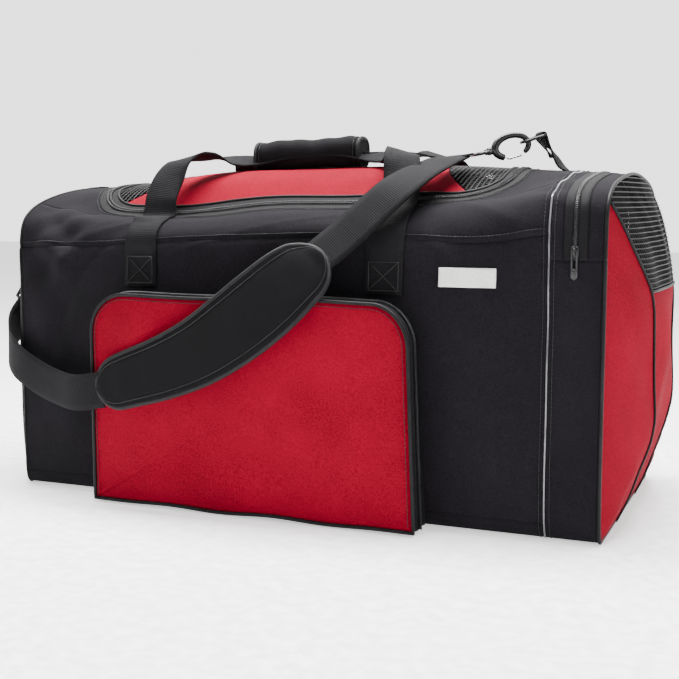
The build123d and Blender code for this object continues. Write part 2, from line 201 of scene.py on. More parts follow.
# ---- mesh building
def new_object(name, verts, faces, material, uvs=None, flat=()):
    """A mesh object from lists; uvs are a pair per vertex, and flat numbers the faces with crisp shading."""
    mesh = bpy.data.meshes.new(name)
    mesh.from_pydata([tuple(v) for v in verts], [], [tuple(int(i) for i in f) for f in faces])
    mesh.polygons.foreach_set("use_smooth", [True] * len(mesh.polygons))
    for n in flat:
        mesh.polygons[n].use_smooth = False
    if uvs is not None:
        layer = mesh.uv_layers.new(name="UVMap")
        corner = np.empty(len(mesh.loops), int)
        mesh.loops.foreach_get("vertex_index", corner)
        layer.data.foreach_set("uv", np.asarray(uvs, float)[corner].ravel())
    mesh.update()
    obj = bpy.data.objects.new(name, mesh)
    bpy.context.scene.collection.objects.link(obj)
    obj.data.materials.append(material)
    return obj


def grid_normals(grid):
    """The surface normal at each point of a grid."""
    du = np.gradient(grid, axis=0)
    dv = np.gradient(grid, axis=1)
    normal = np.cross(du, dv)
    size = np.linalg.norm(normal, axis=-1, keepdims=True)
    return normal / np.maximum(size, 1e-12)


def grid_uvs(grid):
    """Cloth coordinates in metres: distances along the grid's two directions."""
    du = np.linalg.norm(np.diff(grid, axis=0), axis=-1)
    dv = np.linalg.norm(np.diff(grid, axis=1), axis=-1)
    u = np.concatenate([np.zeros((1, grid.shape[1])), np.cumsum(du, 0)])
    v = np.concatenate([np.zeros((grid.shape[0], 1)), np.cumsum(dv, 1)], 1)
    return np.stack([u.mean(1, keepdims=True) + 0 * u, v.mean(0, keepdims=True) + 0 * v], -1)


def shell(name, grid, material, thick=0.0015, flip=False):
    """Cloth of real thickness whose outer face is the grid of points; it grows inward from there."""
    grid = np.asarray(grid, float)
    rows, cols = grid.shape[:2]
    normal = grid_normals(grid) * (-1 if flip else 1)
    inner = grid - normal * thick
    uv = grid_uvs(grid).reshape(-1, 2)
    verts = np.concatenate([grid.reshape(-1, 3), inner.reshape(-1, 3)])
    count = rows * cols
    faces = []
    for i in range(rows - 1):
        for j in range(cols - 1):
            a, b = i * cols + j, (i + 1) * cols + j
            c, d = b + 1, a + 1
            faces.append((a, b, c, d) if not flip else (d, c, b, a))
            faces.append((d + count, c + count, b + count, a + count) if not flip
                         else (a + count, b + count, c + count, d + count))
    rim = [i * cols for i in range(rows)]
    rim += [(rows - 1) * cols + j for j in range(1, cols)]
    rim += [i * cols + cols - 1 for i in range(rows - 2, -1, -1)]
    rim += [j for j in range(cols - 2, 0, -1)]
    crisp = []
    for a, b in zip(rim, rim[1:] + rim[:1]):
        crisp.append(len(faces))
        faces.append((b, a, a + count, b + count) if not flip else (a, b, b + count, a + count))
    return new_object(name, verts, faces, material, np.concatenate([uv, uv]), crisp)


def tube(name, path, radius, material, sides=8, closed=False, flatten=None):
    """A round tube along a path, with domed ends; flatten gives (direction, share) to squeeze it."""
    path = np.asarray(path, float)
    count = len(path)
    radius = np.broadcast_to(np.asarray(radius, float), (count,)).copy()
    step = np.roll(path, -1, 0) - np.roll(path, 1, 0) if closed else np.gradient(path, axis=0)
    step /= np.maximum(np.linalg.norm(step, axis=1)[:, None], 1e-12)
    side = np.cross(step[0], (0.31, 0.23, 0.92))
    rings = []
    for n in range(count):
        side = side - step[n] * np.dot(side, step[n])
        side /= np.linalg.norm(side)
        rings.append((side.copy(), np.cross(step[n], side)))
    verts, faces, uvs = [], [], []
    length = 0.0
    for n in range(count):
        a, b = rings[n]
        length += 0.0 if n == 0 else float(np.linalg.norm(path[n] - path[n - 1]))
        for k in range(sides):
            turn = 2 * math.pi * k / sides
            offset = (a * math.cos(turn) + b * math.sin(turn)) * radius[n]
            if flatten is not None:
                way = np.asarray(flatten[0], float)
                offset = offset - way * np.dot(offset, way) * (1 - flatten[1])
            verts.append(path[n] + offset)
            uvs.append((length, turn * radius[n]))
    last = count if closed else count - 1
    for n in range(last):
        m = (n + 1) % count
        for k in range(sides):
            j = (k + 1) % sides
            faces.append((n * sides + k, n * sides + j, m * sides + j, m * sides + k))
    if not closed:
        for n, way in ((0, -1), (count - 1, 1)):
            verts.append(path[n] + step[n] * way * radius[n] * 0.5)
            uvs.append((0, 0))
            tip = len(verts) - 1
            for k in range(sides):
                j = (k + 1) % sides
                pair = (n * sides + k, n * sides + j)
                faces.append((pair[1], pair[0], tip) if way < 0 else (pair[0], pair[1], tip))
    return new_object(name, verts, faces, material, uvs)


def smooth_path(points, count):
    """Points spread evenly along a smooth curve through the given ones."""
    points = np.asarray(points, float)
    chord = np.concatenate([[0], np.cumsum(np.linalg.norm(np.diff(points[:, :3], axis=0), axis=1))])
    t = span(0, chord[-1], count)
    return np.stack([hermite(t, chord, points[:, k]) for k in range(points.shape[1])], -1)


def join(name, objects):
    """Several objects made into one piece."""
    bpy.ops.object.select_all(action="DESELECT")
    for obj in objects:
        obj.select_set(True)
    bpy.context.view_layer.objects.active = objects[0]
    bpy.ops.object.join()
    objects[0].name = name
    objects[0].data.name = name
    return objects[0]


# ---- materials
class Nodes:
    """A material's node tree with short ways to add and link."""

    def __init__(self, name, rough, metal=0.0, sheen=0.0, specular=0.5, coat=0.0):
        self.material = bpy.data.materials.new(name)
        self.material.use_nodes = True
        self.tree = self.material.node_tree
        self.shader = self.tree.nodes["Principled BSDF"]
        self.shader.inputs["Roughness"].default_value = rough
        self.shader.inputs["Metallic"].default_value = metal
        self.shader.inputs["Sheen Weight"].default_value = sheen
        self.shader.inputs["Sheen Roughness"].default_value = 0.45
        self.shader.inputs["Specular IOR Level"].default_value = specular
        self.shader.inputs["Coat Weight"].default_value = coat

    def add(self, kind, values=(), links=(), **settings):
        node = self.tree.nodes.new(kind)
        for key, value in settings.items():
            setattr(node, key, value)
        for key, value in dict(values).items():
            node.inputs[key].default_value = value
        for key, source in dict(links).items():
            self.tree.links.new(source, node.inputs[key])
        return node

    def math(self, operation, a, b=0.0):
        node = self.tree.nodes.new("ShaderNodeMath")
        node.operation = operation
        for n, value in enumerate((a, b)):
            if isinstance(value, (int, float)):
                node.inputs[n].default_value = value
            else:
                self.tree.links.new(value, node.inputs[n])
        return node.outputs[0]

    def noise(self, where, scale, detail=3.0):
        node = self.add("ShaderNodeTexNoise", {"Scale": scale, "Detail": detail}, {"Vector": where})
        return node.outputs["Fac"]

    def ramp(self, fac, low, high, dark, light):
        node = self.add("ShaderNodeValToRGB", links={"Fac": fac})
        node.color_ramp.elements[0].position = low
        node.color_ramp.elements[0].color = (*dark, 1)
        node.color_ramp.elements[1].position = high
        node.color_ramp.elements[1].color = (*light, 1)
        return node.outputs["Color"]

    def link(self, socket, source):
        self.tree.links.new(source, self.shader.inputs[socket])

    def bump(self, height, strength, distance, under=None):
        node = self.add("ShaderNodeBump", {"Strength": strength, "Distance": distance}, {"Height": height})
        if under is not None:
            self.tree.links.new(under, node.inputs["Normal"])
        return node.outputs["Normal"]


def bands(nodes, where, direction, period):
    """Ridges across one direction, a period in metres."""
    return nodes.add("ShaderNodeTexWave", {"Scale": 0.314 / period, "Distortion": 0.0}, {"Vector": where},
                     bands_direction=direction).outputs["Fac"]


def woven(name, dark, light, rough, sheen, yarn, depth, rib=1.0, specular=0.3, by_uv=True):
    """Cloth: crossing yarns, uneven dye, slight creasing; rib stretches the yarn along the cloth."""
    nodes = Nodes(name, rough, sheen=sheen, specular=specular)
    coords = nodes.add("ShaderNodeTexCoord").outputs
    where = coords["UV"] if by_uv else coords["Object"]
    warp = bands(nodes, where, "X", yarn * rib)
    weft = bands(nodes, where, "Y", yarn)
    weave = nodes.math("MULTIPLY", warp, weft)
    fleck = nodes.noise(coords["Object"], 420.0, 2.0)
    cloud = nodes.noise(coords["Object"], 9.0, 4.0)
    tone = nodes.math("ADD", nodes.math("MULTIPLY", fleck, 0.55), nodes.math("MULTIPLY", cloud, 0.45))
    tone = nodes.math("ADD", tone, nodes.math("MULTIPLY", weave, 0.10))
    nodes.link("Base Color", nodes.ramp(tone, 0.36, 0.72, dark, light))
    worn = nodes.math("ADD", nodes.math("MULTIPLY", cloud, 0.18), rough - 0.09)
    nodes.link("Roughness", worn)
    creases = nodes.bump(nodes.noise(coords["Object"], 26.0, 5.0), 0.22, 0.004)
    grain = nodes.bump(fleck, 0.25, 0.0008, creases)
    nodes.link("Normal", nodes.bump(weave, 0.55, depth, grain))
    return nodes.material


def moulded(name, colour, rough, metal=0.0, coat=0.0, scratch=0.2, specular=0.5):
    """Moulded plastic or finished metal: faint grain, handling marks, uneven polish."""
    nodes = Nodes(name, rough, metal=metal, coat=coat, specular=specular)
    where = nodes.add("ShaderNodeTexCoord").outputs["Object"]
    smudge = nodes.noise(where, 60.0, 5.0)
    light = tuple(min(1.0, c * 1.35 + 0.004) for c in colour)
    nodes.link("Base Color", nodes.ramp(smudge, 0.35, 0.7, tuple(c * 0.8 for c in colour), light))
    nodes.link("Roughness", nodes.math("ADD", nodes.math("MULTIPLY", smudge, scratch), rough - scratch / 2))
    nodes.link("Normal", nodes.bump(nodes.noise(where, 1400.0, 3.0), 0.12, 0.0004))
    return nodes.material


BLACK_DARK, BLACK_LIGHT = (0.0020, 0.0015, 0.0024), (0.0105, 0.0088, 0.0120)
RED_DARK, RED_LIGHT = (0.125, 0.0002, 0.0062), (0.240, 0.0006, 0.0150)
fabric = woven("black_cloth", BLACK_DARK, BLACK_LIGHT, 0.92, 0.0, 0.0013, 0.0007, specular=0.12)
fabric_red = woven("red_cloth", RED_DARK, RED_LIGHT, 0.92, 0.0, 0.0013, 0.0007, specular=0.07)
webbing_cloth = woven("ribbed_webbing", (0.0025, 0.0022, 0.0028), (0.0070, 0.0064, 0.0078),
                      0.80, 0.0, 0.0017, 0.0011, rib=1.6, specular=0.12)
tape_cloth = woven("zipper_cloth", (0.0020, 0.0018, 0.0022), (0.0060, 0.0054, 0.0066),
                   0.7, 0.0, 0.0009, 0.0003, specular=0.12)
padding_cloth = woven("padding_cloth", (0.0028, 0.0025, 0.0030), (0.0048, 0.0042, 0.0052),
                      0.85, 0.0, 0.0013, 0.0005, specular=0.10)
binding_cloth = woven("binding_cloth", (0.0030, 0.0028, 0.0032), (0.0070, 0.0066, 0.0078),
                      0.6, 0.0, 0.0012, 0.0005, specular=0.22)
net_cloth = woven("net_thread", (0.0020, 0.0020, 0.0023), (0.0095, 0.0095, 0.0105),
                  0.55, 0.0, 0.0009, 0.0003, specular=0.22, by_uv=False)
label_cloth = woven("label_cloth", (0.62, 0.62, 0.60), (0.84, 0.84, 0.82), 0.6, 0.1, 0.0008, 0.0003)
thread = woven("sewing_thread", (0.0040, 0.0038, 0.0042), (0.010, 0.0095, 0.011),
               0.5, 0.0, 0.0008, 0.0003, by_uv=False)
piping_vinyl = moulded("satin_piping", (0.0030, 0.0028, 0.0034), 0.50, scratch=0.12, specular=0.14)
# Black vinyl piping with a painted highlight: its light grey colour stands for the shine along the right seam.
painted_highlight_piping = moulded("painted_highlight_piping", (0.085, 0.083, 0.090), 0.20, coat=0.5, scratch=0.12)
coil_plastic = moulded("zipper_coil", (0.010, 0.0095, 0.011), 0.34, specular=0.45)
hook_plastic = moulded("hook_moulding", (0.006, 0.006, 0.007), 0.32, coat=0.1, specular=0.35)
black_metal = moulded("black_coated_metal", (0.010, 0.010, 0.011), 0.34, metal=0.3)
bright_metal = moulded("bright_metal", (0.55, 0.55, 0.57), 0.22, metal=1.0)
pull_rubber = moulded("pull_moulding", (0.012, 0.012, 0.013), 0.42)
board_plastic = moulded("board_sheet", (0.03, 0.03, 0.03), 0.55)

SLOT_LOOKS = {
    "black_fabric": fabric, "red_fabric": fabric_red, "black_mesh": net_cloth, "webbing": webbing_cloth,
    "padding": padding_cloth, "zipper_tape": tape_cloth, "piping": piping_vinyl, "label": label_cloth,
    "hook_plastic": hook_plastic, "black_metal": black_metal, "zip_metal": bright_metal,
    "pull_plastic": pull_rubber, "board": board_plastic,
}


def put(obj, body, slot, *nodes):
    """Make a piece ride on a body and stand for CAD nodes; its slot is not used."""
    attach(obj, body)
    if nodes:
        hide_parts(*nodes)
    return obj


def bend(obj, slot, body, start, end, *nodes):
    """Bake a piece's transform into its mesh and make it stand for CAD nodes; slot, body, start and end are
    not used.
    """
    if nodes:
        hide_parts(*nodes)
    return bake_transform(obj)


# ---- main compartment
def ring_grid(xs, p_low, p_high, count, lift=0.0):
    """A grid over the bag: rows along x, columns round the ring from p_low to p_high."""
    xs = np.asarray(xs, float)
    low = np.broadcast_to(p_low, xs.shape)[:, None]
    high = np.broadcast_to(p_high, xs.shape)[:, None]
    p = low + (high - low) * span(0, 1, count)[None, :]
    return bag(np.repeat(xs[:, None], count, 1), p, lift)


def body_panel(name, grid, node, flip=False):
    """A sewn panel of the main compartment."""
    put(shell(name, grid, fabric, CLOTH, flip), "root", "black_fabric", node)


BODY_XS = span(LEFT_X, RIGHT_X, 120)
body_panel("bottom_panel_cloth", ring_grid(BODY_XS, -BASE_SEAM, BASE_SEAM, 40), "bottom_panel")
body_panel("front_panel_cloth", ring_grid(BODY_XS, BASE_SEAM, SEAM, 60), "front_panel")
body_panel("back_panel_cloth", ring_grid(BODY_XS, LAST - SEAM, LAST - BASE_SEAM, 60), "back_panel")

# The lid and its opening in plan: half length, half width, corner radius, width of a zipper tape
LID_X, LID_Y, CORNER, TAPE = 0.308, 0.135, 0.070, 0.014
HINGE_Z = 0.434


def opening(offset):
    """The lid's outline grown by offset, in plan: from the back right, round the front, to the back left."""
    radius = CORNER + offset
    cx, cy = LID_X - CORNER, -LID_Y + CORNER
    points = [(LID_X + offset, y) for y in span(LID_Y, cy, 40)[:-1]]
    points += [(cx + radius * math.cos(t), cy - radius * math.sin(t)) for t in span(0, math.pi / 2, 24)[:-1]]
    points += [(x, -LID_Y - offset) for x in span(cx, -cx, 90)[:-1]]
    points += [(-cx - radius * math.sin(t), cy - radius * math.cos(t)) for t in span(0, math.pi / 2, 24)[:-1]]
    points += [(-LID_X - offset, y) for y in span(cy, LID_Y, 40)]
    return np.array(points)


def top_band(inner, outer, cols, lift=0.0):
    """A strip of the top between two plan outlines with the same number of points."""
    t = span(0, 1, cols)[None, :, None]
    plan = inner[:, None, :] * (1 - t) + outer[:, None, :] * t
    return on_top(plan[..., 0], plan[..., 1], lift)


INNER_EDGE = opening(TAPE + 0.0005)
FRONT_Y = -LID_Y - TAPE
front_p = param_at(BODY_XS, np.full(120, FRONT_Y), 1, 6.5, 11)
body_panel("top_front_cloth", ring_grid(BODY_XS, SEAM, front_p, 14), "top_front_strip")
back_p = param_at(BODY_XS, np.full(120, LID_Y), 1, 11, 15.4)
body_panel("top_back_cloth", ring_grid(BODY_XS, back_p, LAST - SEAM, 18), "top_back_strip")


def end_strip(sign):
    """The part of the top between the opening and one end seam."""
    mask = INNER_EDGE[:, 0] * sign > LID_X - CORNER - 1e-6
    inner = INNER_EDGE[mask]
    inner = inner[np.argsort(inner[:, 1], kind="stable")]
    outer = np.stack([np.full(len(inner), sign * RIGHT_X), span(FRONT_Y, LID_Y, len(inner))], -1)
    return top_band(inner, outer, 12)


body_panel("top_right_cloth", end_strip(1), "top_right_strip", flip=True)
body_panel("top_left_cloth", end_strip(-1), "top_left_strip")


def ring_path(x, p_low, p_high, count, lift=0.0):
    """Points round the bag at x."""
    return bag(np.full(count, x), span(p_low, p_high, count), lift)


def cord_path(x, p_low, p_high, count, radius):
    """The ring path of a seam cord, raised under the base so that the cord never dips below the floor."""
    path = ring_path(x, p_low, p_high, count)
    path[:, 2] = np.maximum(path[:, 2], radius - FLOOR_GAP)
    return path


def bulged_end(x, bulge, power, rough, share=1.0, count=61):
    """An end panel's grid, stretched between the base, the two sides and the top of the bag's ring at x."""
    base = ring_path(x, -BASE_SEAM, BASE_SEAM, count)
    front = ring_path(x, BASE_SEAM, TOP_EDGE, count)
    top = ring_path(x, LAST - TOP_EDGE, TOP_EDGE, count)
    back = ring_path(x, LAST - BASE_SEAM, LAST - TOP_EDGE, count)
    u, v = np.meshgrid(span(0, 1, count), span(0, 1, count), indexing="ij")
    u, v = u[..., None], v[..., None]
    grid = (1 - v) * base[:, None] + v * top[:, None] + (1 - u) * back[None] + u * front[None]
    grid = grid - (1 - u) * (1 - v) * base[0] - u * (1 - v) * base[-1]
    grid = grid - (1 - u) * v * top[0] - u * v * top[-1]
    grid = grid * np.array([1, share, share])
    rise = (1 - np.abs(2 * u - 1) ** power) * (1 - np.abs(2 * v - 1) ** power)
    wave = np.sin(grid[..., 1:2] * 31 + 1.2) * np.sin(grid[..., 2:3] * 23 + 0.4)
    wave = wave + 0.6 * np.sin(grid[..., 1:2] * 57 + grid[..., 2:3] * 41)
    return grid + np.array([1.0, 0, 0]) * (bulge * rise + rough * wave * rise)


body_panel("left_end_cloth", bulged_end(LEFT_X, -0.034, 3.0, 0.0015), "left_end_panel")
# The right seam cord is thin and light grey: a painted highlight on black piping.
for side, x, radius, look in (("left", LEFT_X, 0.0016, piping_vinyl),
                              ("right", RIGHT_X, 0.0012, painted_highlight_piping)):
    cord = tube(side + "_seam_cord", cord_path(x, 0, LAST, 240, radius)[:-1], radius, look, closed=True)
    put(cord, "root", "piping", side + "_seam_piping")

# ---- lid
BLEND_Y = 0.012
# Where the red cloth ends on the lid: half length in the middle, and how much more at the sides
SPLIT_MIDDLE, SPLIT_MORE = 0.205, 0.075
# The zipper tapes: half the gap between them, how far they lap the cloth, how far they stand above it
TAPE_GAP, TAPE_LAP, TAPE_LIFT_LID, TAPE_LIFT = 0.0012, 0.001, 0.0006, 0.0008
# The teeth: how far each row is from the middle of the zipper, and its height
TEETH_OFF, TEETH_LIFT = 0.0020, 0.0014


def lid_edge_x(y):
    """Half length of the lid's cloth inside its tape at y."""
    radius = CORNER - TAPE
    drop = np.clip(-y - (LID_Y - CORNER), 0, radius)
    return LID_X - TAPE - radius + np.sqrt(np.maximum(radius ** 2 - drop ** 2, 0))


def split_x(y):
    """Half length of the lid's red cloth at y."""
    return np.minimum(SPLIT_MIDDLE + SPLIT_MORE * (y / LID_Y) ** 2, lid_edge_x(y) - 0.0005)


def hinged(obj, slot, *nodes):
    """A piece of the lid that stands for CAD nodes."""
    return bend(obj, slot, "lid", (0, LID_Y, HINGE_Z), (0, LID_Y - BLEND_Y, HINGE_Z), *nodes)


LID_YS = span(-LID_Y + TAPE, LID_Y, 70)
LID_COLUMNS = 110
red_x = split_x(LID_YS)[:, None] * span(-1, 1, LID_COLUMNS)[None, :]
red_y = np.repeat(LID_YS[:, None], LID_COLUMNS, 1)
hinged(shell("lid_red_cloth", on_top(red_x, red_y), fabric_red, flip=True), "red_fabric", "lid_centre_panel")


def net(name, lines, radius=0.00090):
    """An open net: one thread along each line of points."""
    threads = [tube(name + "_t", line, radius, net_cloth, 5) for line in lines if len(line) > 2]
    return join(name, threads)


NET_STEP = 0.0066


def lid_net(sign):
    """The thread lines of the net at one end of the lid."""
    lines = []
    for y in np.arange(-0.112, LID_Y, NET_STEP):
        low, high = float(split_x(np.array([y]))[0]), float(lid_edge_x(np.array([y]))[0])
        if high - low > 0.006:
            x = sign * span(low, high, max(4, int((high - low) / 0.006)))
            lines.append(on_top(x, np.full(len(x), y), -0.001))
    for x in np.arange(0.208, LID_X - TAPE, NET_STEP):
        ys = np.array([y for y in span(-0.12, LID_Y, 60)
                       if float(split_x(np.array([y]))[0]) < x < float(lid_edge_x(np.array([y]))[0])])
        runs = np.split(ys, np.where(np.diff(ys) > 0.006)[0] + 1) if len(ys) else []
        for run in runs:
            if len(run) > 3:
                lines.append(on_top(np.full(len(run), sign * x), run, -0.0002))
    return lines


for side, sign in (("left", -1), ("right", 1)):
    hinged(net("lid_net_" + side, lid_net(sign)), "black_mesh", "lid_mesh_" + side)


fixed_band = top_band(opening(TAPE_GAP), opening(TAPE + TAPE_LAP), 6, TAPE_LIFT_LID)
put(shell("opening_tape_cloth", fixed_band, tape_cloth, TAPE_CLOTH), "root", "zipper_tape",
    "lid_opening_zipper_tape")
lid_band = top_band(opening(-TAPE - TAPE_LAP), opening(-TAPE_GAP), 6, TAPE_LIFT_LID)
hinged(shell("lid_tape_cloth", lid_band, tape_cloth, TAPE_CLOTH), "zipper_tape", "lid_zipper_tape")


def resample(path, step):
    """The same path with points one step apart."""
    path = np.asarray(path, float)
    run = np.concatenate([[0], np.cumsum(np.linalg.norm(np.diff(path, axis=0), axis=1))])
    t = span(0, run[-1], max(4, int(run[-1] / step)))
    return np.stack([np.interp(t, run, path[:, k]) for k in range(3)], -1)


def coil(name, path, side_of, pitch=0.0023, radius=0.0019, wire=0.00062):
    """One row of zipper teeth: a small helix along a path, leaning to the side away from the other row."""
    path = resample(path, pitch / 6)
    step = np.gradient(path, axis=0)
    step /= np.linalg.norm(step, axis=1)[:, None]
    across = np.cross(side_of, step)
    across /= np.linalg.norm(across, axis=1)[:, None]
    up = np.cross(step, across)
    turn = np.arange(len(path)) * math.pi / 3
    ring = across * (np.cos(turn) * radius)[:, None] + up * (np.sin(turn) * radius * 0.75)[:, None]
    return tube(name, path + ring, wire, coil_plastic, 4)


def plan_path(offset, lift):
    """A line on the top of the bag, beside the lid's outline."""
    edge = opening(offset)
    return on_top(edge[:, 0], edge[:, 1], lift)


put(coil("opening_teeth", plan_path(TEETH_OFF, TEETH_LIFT), (0, 0, 1)), "root", "zipper_tape")
hinged(coil("lid_teeth", plan_path(-TEETH_OFF, TEETH_LIFT), (0, 0, 1)), "zipper_tape")
hinged(tube("lid_edge_cord", resample(plan_path(-TAPE, 0.0008), 0.006), 0.0021, piping_vinyl, 7), "piping")


# ---- end pocket
FOLD_Z = 0.346
# The end panel's middle in y and z, how far it bulges, and how square the bulge is
END_CENTRE = np.array([0.0, 0.235])
END_BULGE, END_POWER = 0.052, 2.2


def fold_p(xs):
    """The ring parameter, at each x, of the height where the end pocket folds."""
    return param_at(xs, np.full(len(xs), FOLD_Z), 2, 3.0, 10.0)


def over_top(x_a, x_b, count, lift=0.0):
    """A strip of gusset over the top of the bag, from fold to fold."""
    xs = span(x_a, x_b, count)
    p = fold_p(xs)
    return ring_grid(xs, p, LAST - p, 150, lift)


put(shell("gusset_inner_cloth", over_top(RIGHT_X, 0.406, 5), fabric, CLOTH),
    "root", "black_fabric", "end_gusset_inner")
put(shell("gusset_inner_tape", over_top(0.4055, 0.4180, 4, TAPE_LIFT), tape_cloth, TAPE_CLOTH),
    "root", "zipper_tape", "end_zipper_tape_inner")
put(shell("gusset_outer_tape", over_top(0.4202, 0.4335, 4, TAPE_LIFT), tape_cloth, TAPE_CLOTH),
    "end_flap", "zipper_tape", "end_zipper_tape_outer")
put(shell("gusset_outer_cloth", over_top(0.4330, END_X, 6), fabric, CLOTH),
    "end_flap", "black_fabric", "end_gusset_outer")
lower_xs = span(RIGHT_X, END_X, 12)
lower_p = fold_p(lower_xs)
put(shell("gusset_lower_cloth", ring_grid(lower_xs, -lower_p, lower_p, 200), fabric, CLOTH),
    "root", "black_fabric", "end_gusset_lower")
END_CORD, END_ZIP_X = 0.0024, 0.419
fold_end = float(fold_p(np.array([END_X]))[0])
fold_zip = float(fold_p(np.array([END_ZIP_X]))[0])
for part, body, low, high, count in (("upper", "end_flap", fold_end, LAST - fold_end, 190),
                                     ("lower", "root", -fold_end, fold_end, 220)):
    path = cord_path(END_X, low, high, count, END_CORD)
    put(tube("end_cord_" + part, path, END_CORD, piping_vinyl), body, "piping", "end_piping_" + part)
for part, body, x in (("inner", "root", 0.4182), ("outer", "end_flap", 0.4200)):
    path = ring_path(x, fold_zip, LAST - fold_zip, 200, 0.0006)
    put(coil("end_teeth_" + part, path, (0.3, 0, 0.95)), body, "zipper_tape")

end_ring = ring_path(END_X, 0, LAST, 720)[:-1, 1:] - END_CENTRE
end_angle = np.arctan2(end_ring[:, 1], end_ring[:, 0])
end_order = np.argsort(end_angle)
end_reach = np.linalg.norm(end_ring, axis=1)


def end_surface(y, z, lift=0.0):
    """The bulged end panel at y, z."""
    dy, dz = y - END_CENTRE[0], z - END_CENTRE[1]
    edge = np.interp(np.arctan2(dz, dy), end_angle[end_order], end_reach[end_order], period=2 * math.pi)
    share = np.clip(np.hypot(dy, dz) / edge, 0, 1)
    rumple = 0.0034 * np.sin(37 * y + 11 * z) * np.sin(29 * z - 9 * y + 1.0) * (1 - share)
    rumple += 0.0022 * np.sin(62 * z - 75 * np.abs(y)) * np.clip(share - 0.45, 0, 1) * (1 - share) * 6
    x = END_X + END_BULGE * (1 - share ** END_POWER) + rumple + lift
    return np.stack([x, y + 0 * z, z + 0 * y], -1)


def end_patch(path_a, path_b, cols, lift=0.0):
    """A grid over the end panel between two (y, z) paths of equal length."""
    t = span(0, 1, cols)[None, :, None]
    plan = path_a[:, None, :] * (1 - t) + path_b[:, None, :] * t
    return end_surface(plan[..., 0], plan[..., 1], lift)


SEAM_FOOT_P, SEAM_TOP_P = 0.78, 8.0
# The seam between a red wing and the middle of the end panel, in y and z from the foot up
seam_line = smooth_path([(-0.078, 0.0, 0), (-0.080, 0.12, 0), (-0.090, 0.243, 0), (-0.104, 0.300, 0),
                         (-0.128, 0.330, 0), (-0.155, 0.364, 0), (-0.178, 0.396, 0),
                         (-0.193, 0.415, 0)], 90)[:, :2]
rim_line = ring_path(END_X, SEAM_FOOT_P, SEAM_TOP_P, 90)[:, 1:]
seam_line[0], seam_line[-1] = rim_line[0], rim_line[-1]
mirror = np.array([-1.0, 1.0])


def end_hinged(obj, slot, *nodes):
    """A piece of the end pocket's flap that stands for CAD nodes."""
    return bend(obj, slot, "end_flap", (0.505, 0, 0.338), (0.505, 0, 0.360), *nodes)


for side, sign, flip in (("front", 1, False), ("back", -1, True)):
    turn = np.array([sign, 1.0])
    patch = end_patch(seam_line * turn, rim_line * turn, 26)
    stands_for = ["end_wings"] if sign > 0 else []
    end_hinged(shell("end_wing_" + side, patch, fabric_red, CLOTH, flip), "red_fabric", *stands_for)
    seam = end_surface(seam_line[:, 0] * sign, seam_line[:, 1], 0.0012)
    end_hinged(tube("end_seam_cord_" + side, seam, 0.0017, piping_vinyl, 7), "piping")

# The net starts at this point of the seam line, above the red strip
MESH_FOOT = int(np.argmin(np.abs(seam_line[:, 1] - 0.302)))
strip = seam_line[:MESH_FOOT + 1]
put(shell("end_strip_red", end_patch(strip, strip * mirror, 36), fabric_red, CLOTH, flip=True),
    "root", "red_fabric", "end_panel_lower")
crest_line = ring_path(END_X, SEAM_TOP_P, LAST - SEAM_TOP_P, 60)[:, 1:]
foot_line = np.stack([span(seam_line[MESH_FOOT, 0], -seam_line[MESH_FOOT, 0], 60),
                      np.full(60, seam_line[MESH_FOOT, 1])], -1)
lines = []
for k in span(0, 59, 44):
    low = np.array([np.interp(k, range(60), foot_line[:, n]) for n in (0, 1)])
    high = np.array([np.interp(k, range(60), crest_line[:, n]) for n in (0, 1)])
    plan = low + (high - low) * span(0, 1, 18)[:, None]
    lines.append(end_surface(plan[:, 0], plan[:, 1], -0.0008))
for z in np.arange(0.308, 0.448, NET_STEP * 0.95):
    edge = np.interp(z, seam_line[:, 1], -seam_line[:, 0])
    if z > 0.415:
        edge = np.interp(-z, -crest_line[:30, 1][::-1], -crest_line[:30, 0][::-1])
    y = span(-edge, edge, 50)
    lines.append(end_surface(y, np.full(50, z), 0.0003))
end_hinged(net("end_net", lines, 0.00092), "black_mesh", "end_mesh_panel")
hem = end_surface(foot_line[:, 0], foot_line[:, 1], 0.0010)
put(tube("end_net_hem", hem, 0.0019, piping_vinyl, 7), "root", "piping")
body_panel("divider_cloth", bulged_end(RIGHT_X - 0.001, -0.008, 2.0, 0.003, 0.985), "divider_panel")

# ---- front pocket
POCKET_Y = -0.2485


def pocket_edge(count, inset=0.0):
    """The pocket's outline in x, z from the left foot over the top to the right foot."""
    left, right, r = -0.234 + inset, 0.235 - inset, 0.052 - inset
    top, foot, lean = 0.290 - inset, 0.004 + inset, -0.012
    arc = span(0, math.pi / 2, 12)
    points = [(left, z) for z in span(foot, top - r, 20)]
    points += [(left + r - r * math.cos(t), top - r + r * math.sin(t)) for t in arc[1:]]
    points += [(x, top + 0.0015 * math.sin(x * 19)) for x in span(left + r, right - r, 30)[1:]]
    points += [(right - r + r * math.sin(t), top - r + r * math.cos(t)) for t in arc[1:]]
    points += [(right, z) for z in span(top - r, foot, 20)[1:]]
    points = np.array(points)
    share = np.clip((points[:, 0] - 0.05) / 0.18, 0, 1) * np.clip(points[:, 1] / top, 0, 1)
    points[:, 0] += lean * share
    run = np.concatenate([[0], np.cumsum(np.linalg.norm(np.diff(points, axis=0), axis=1))])
    t = span(0, run[-1], count)
    return np.stack([np.interp(t, run, points[:, k]) for k in (0, 1)], -1)


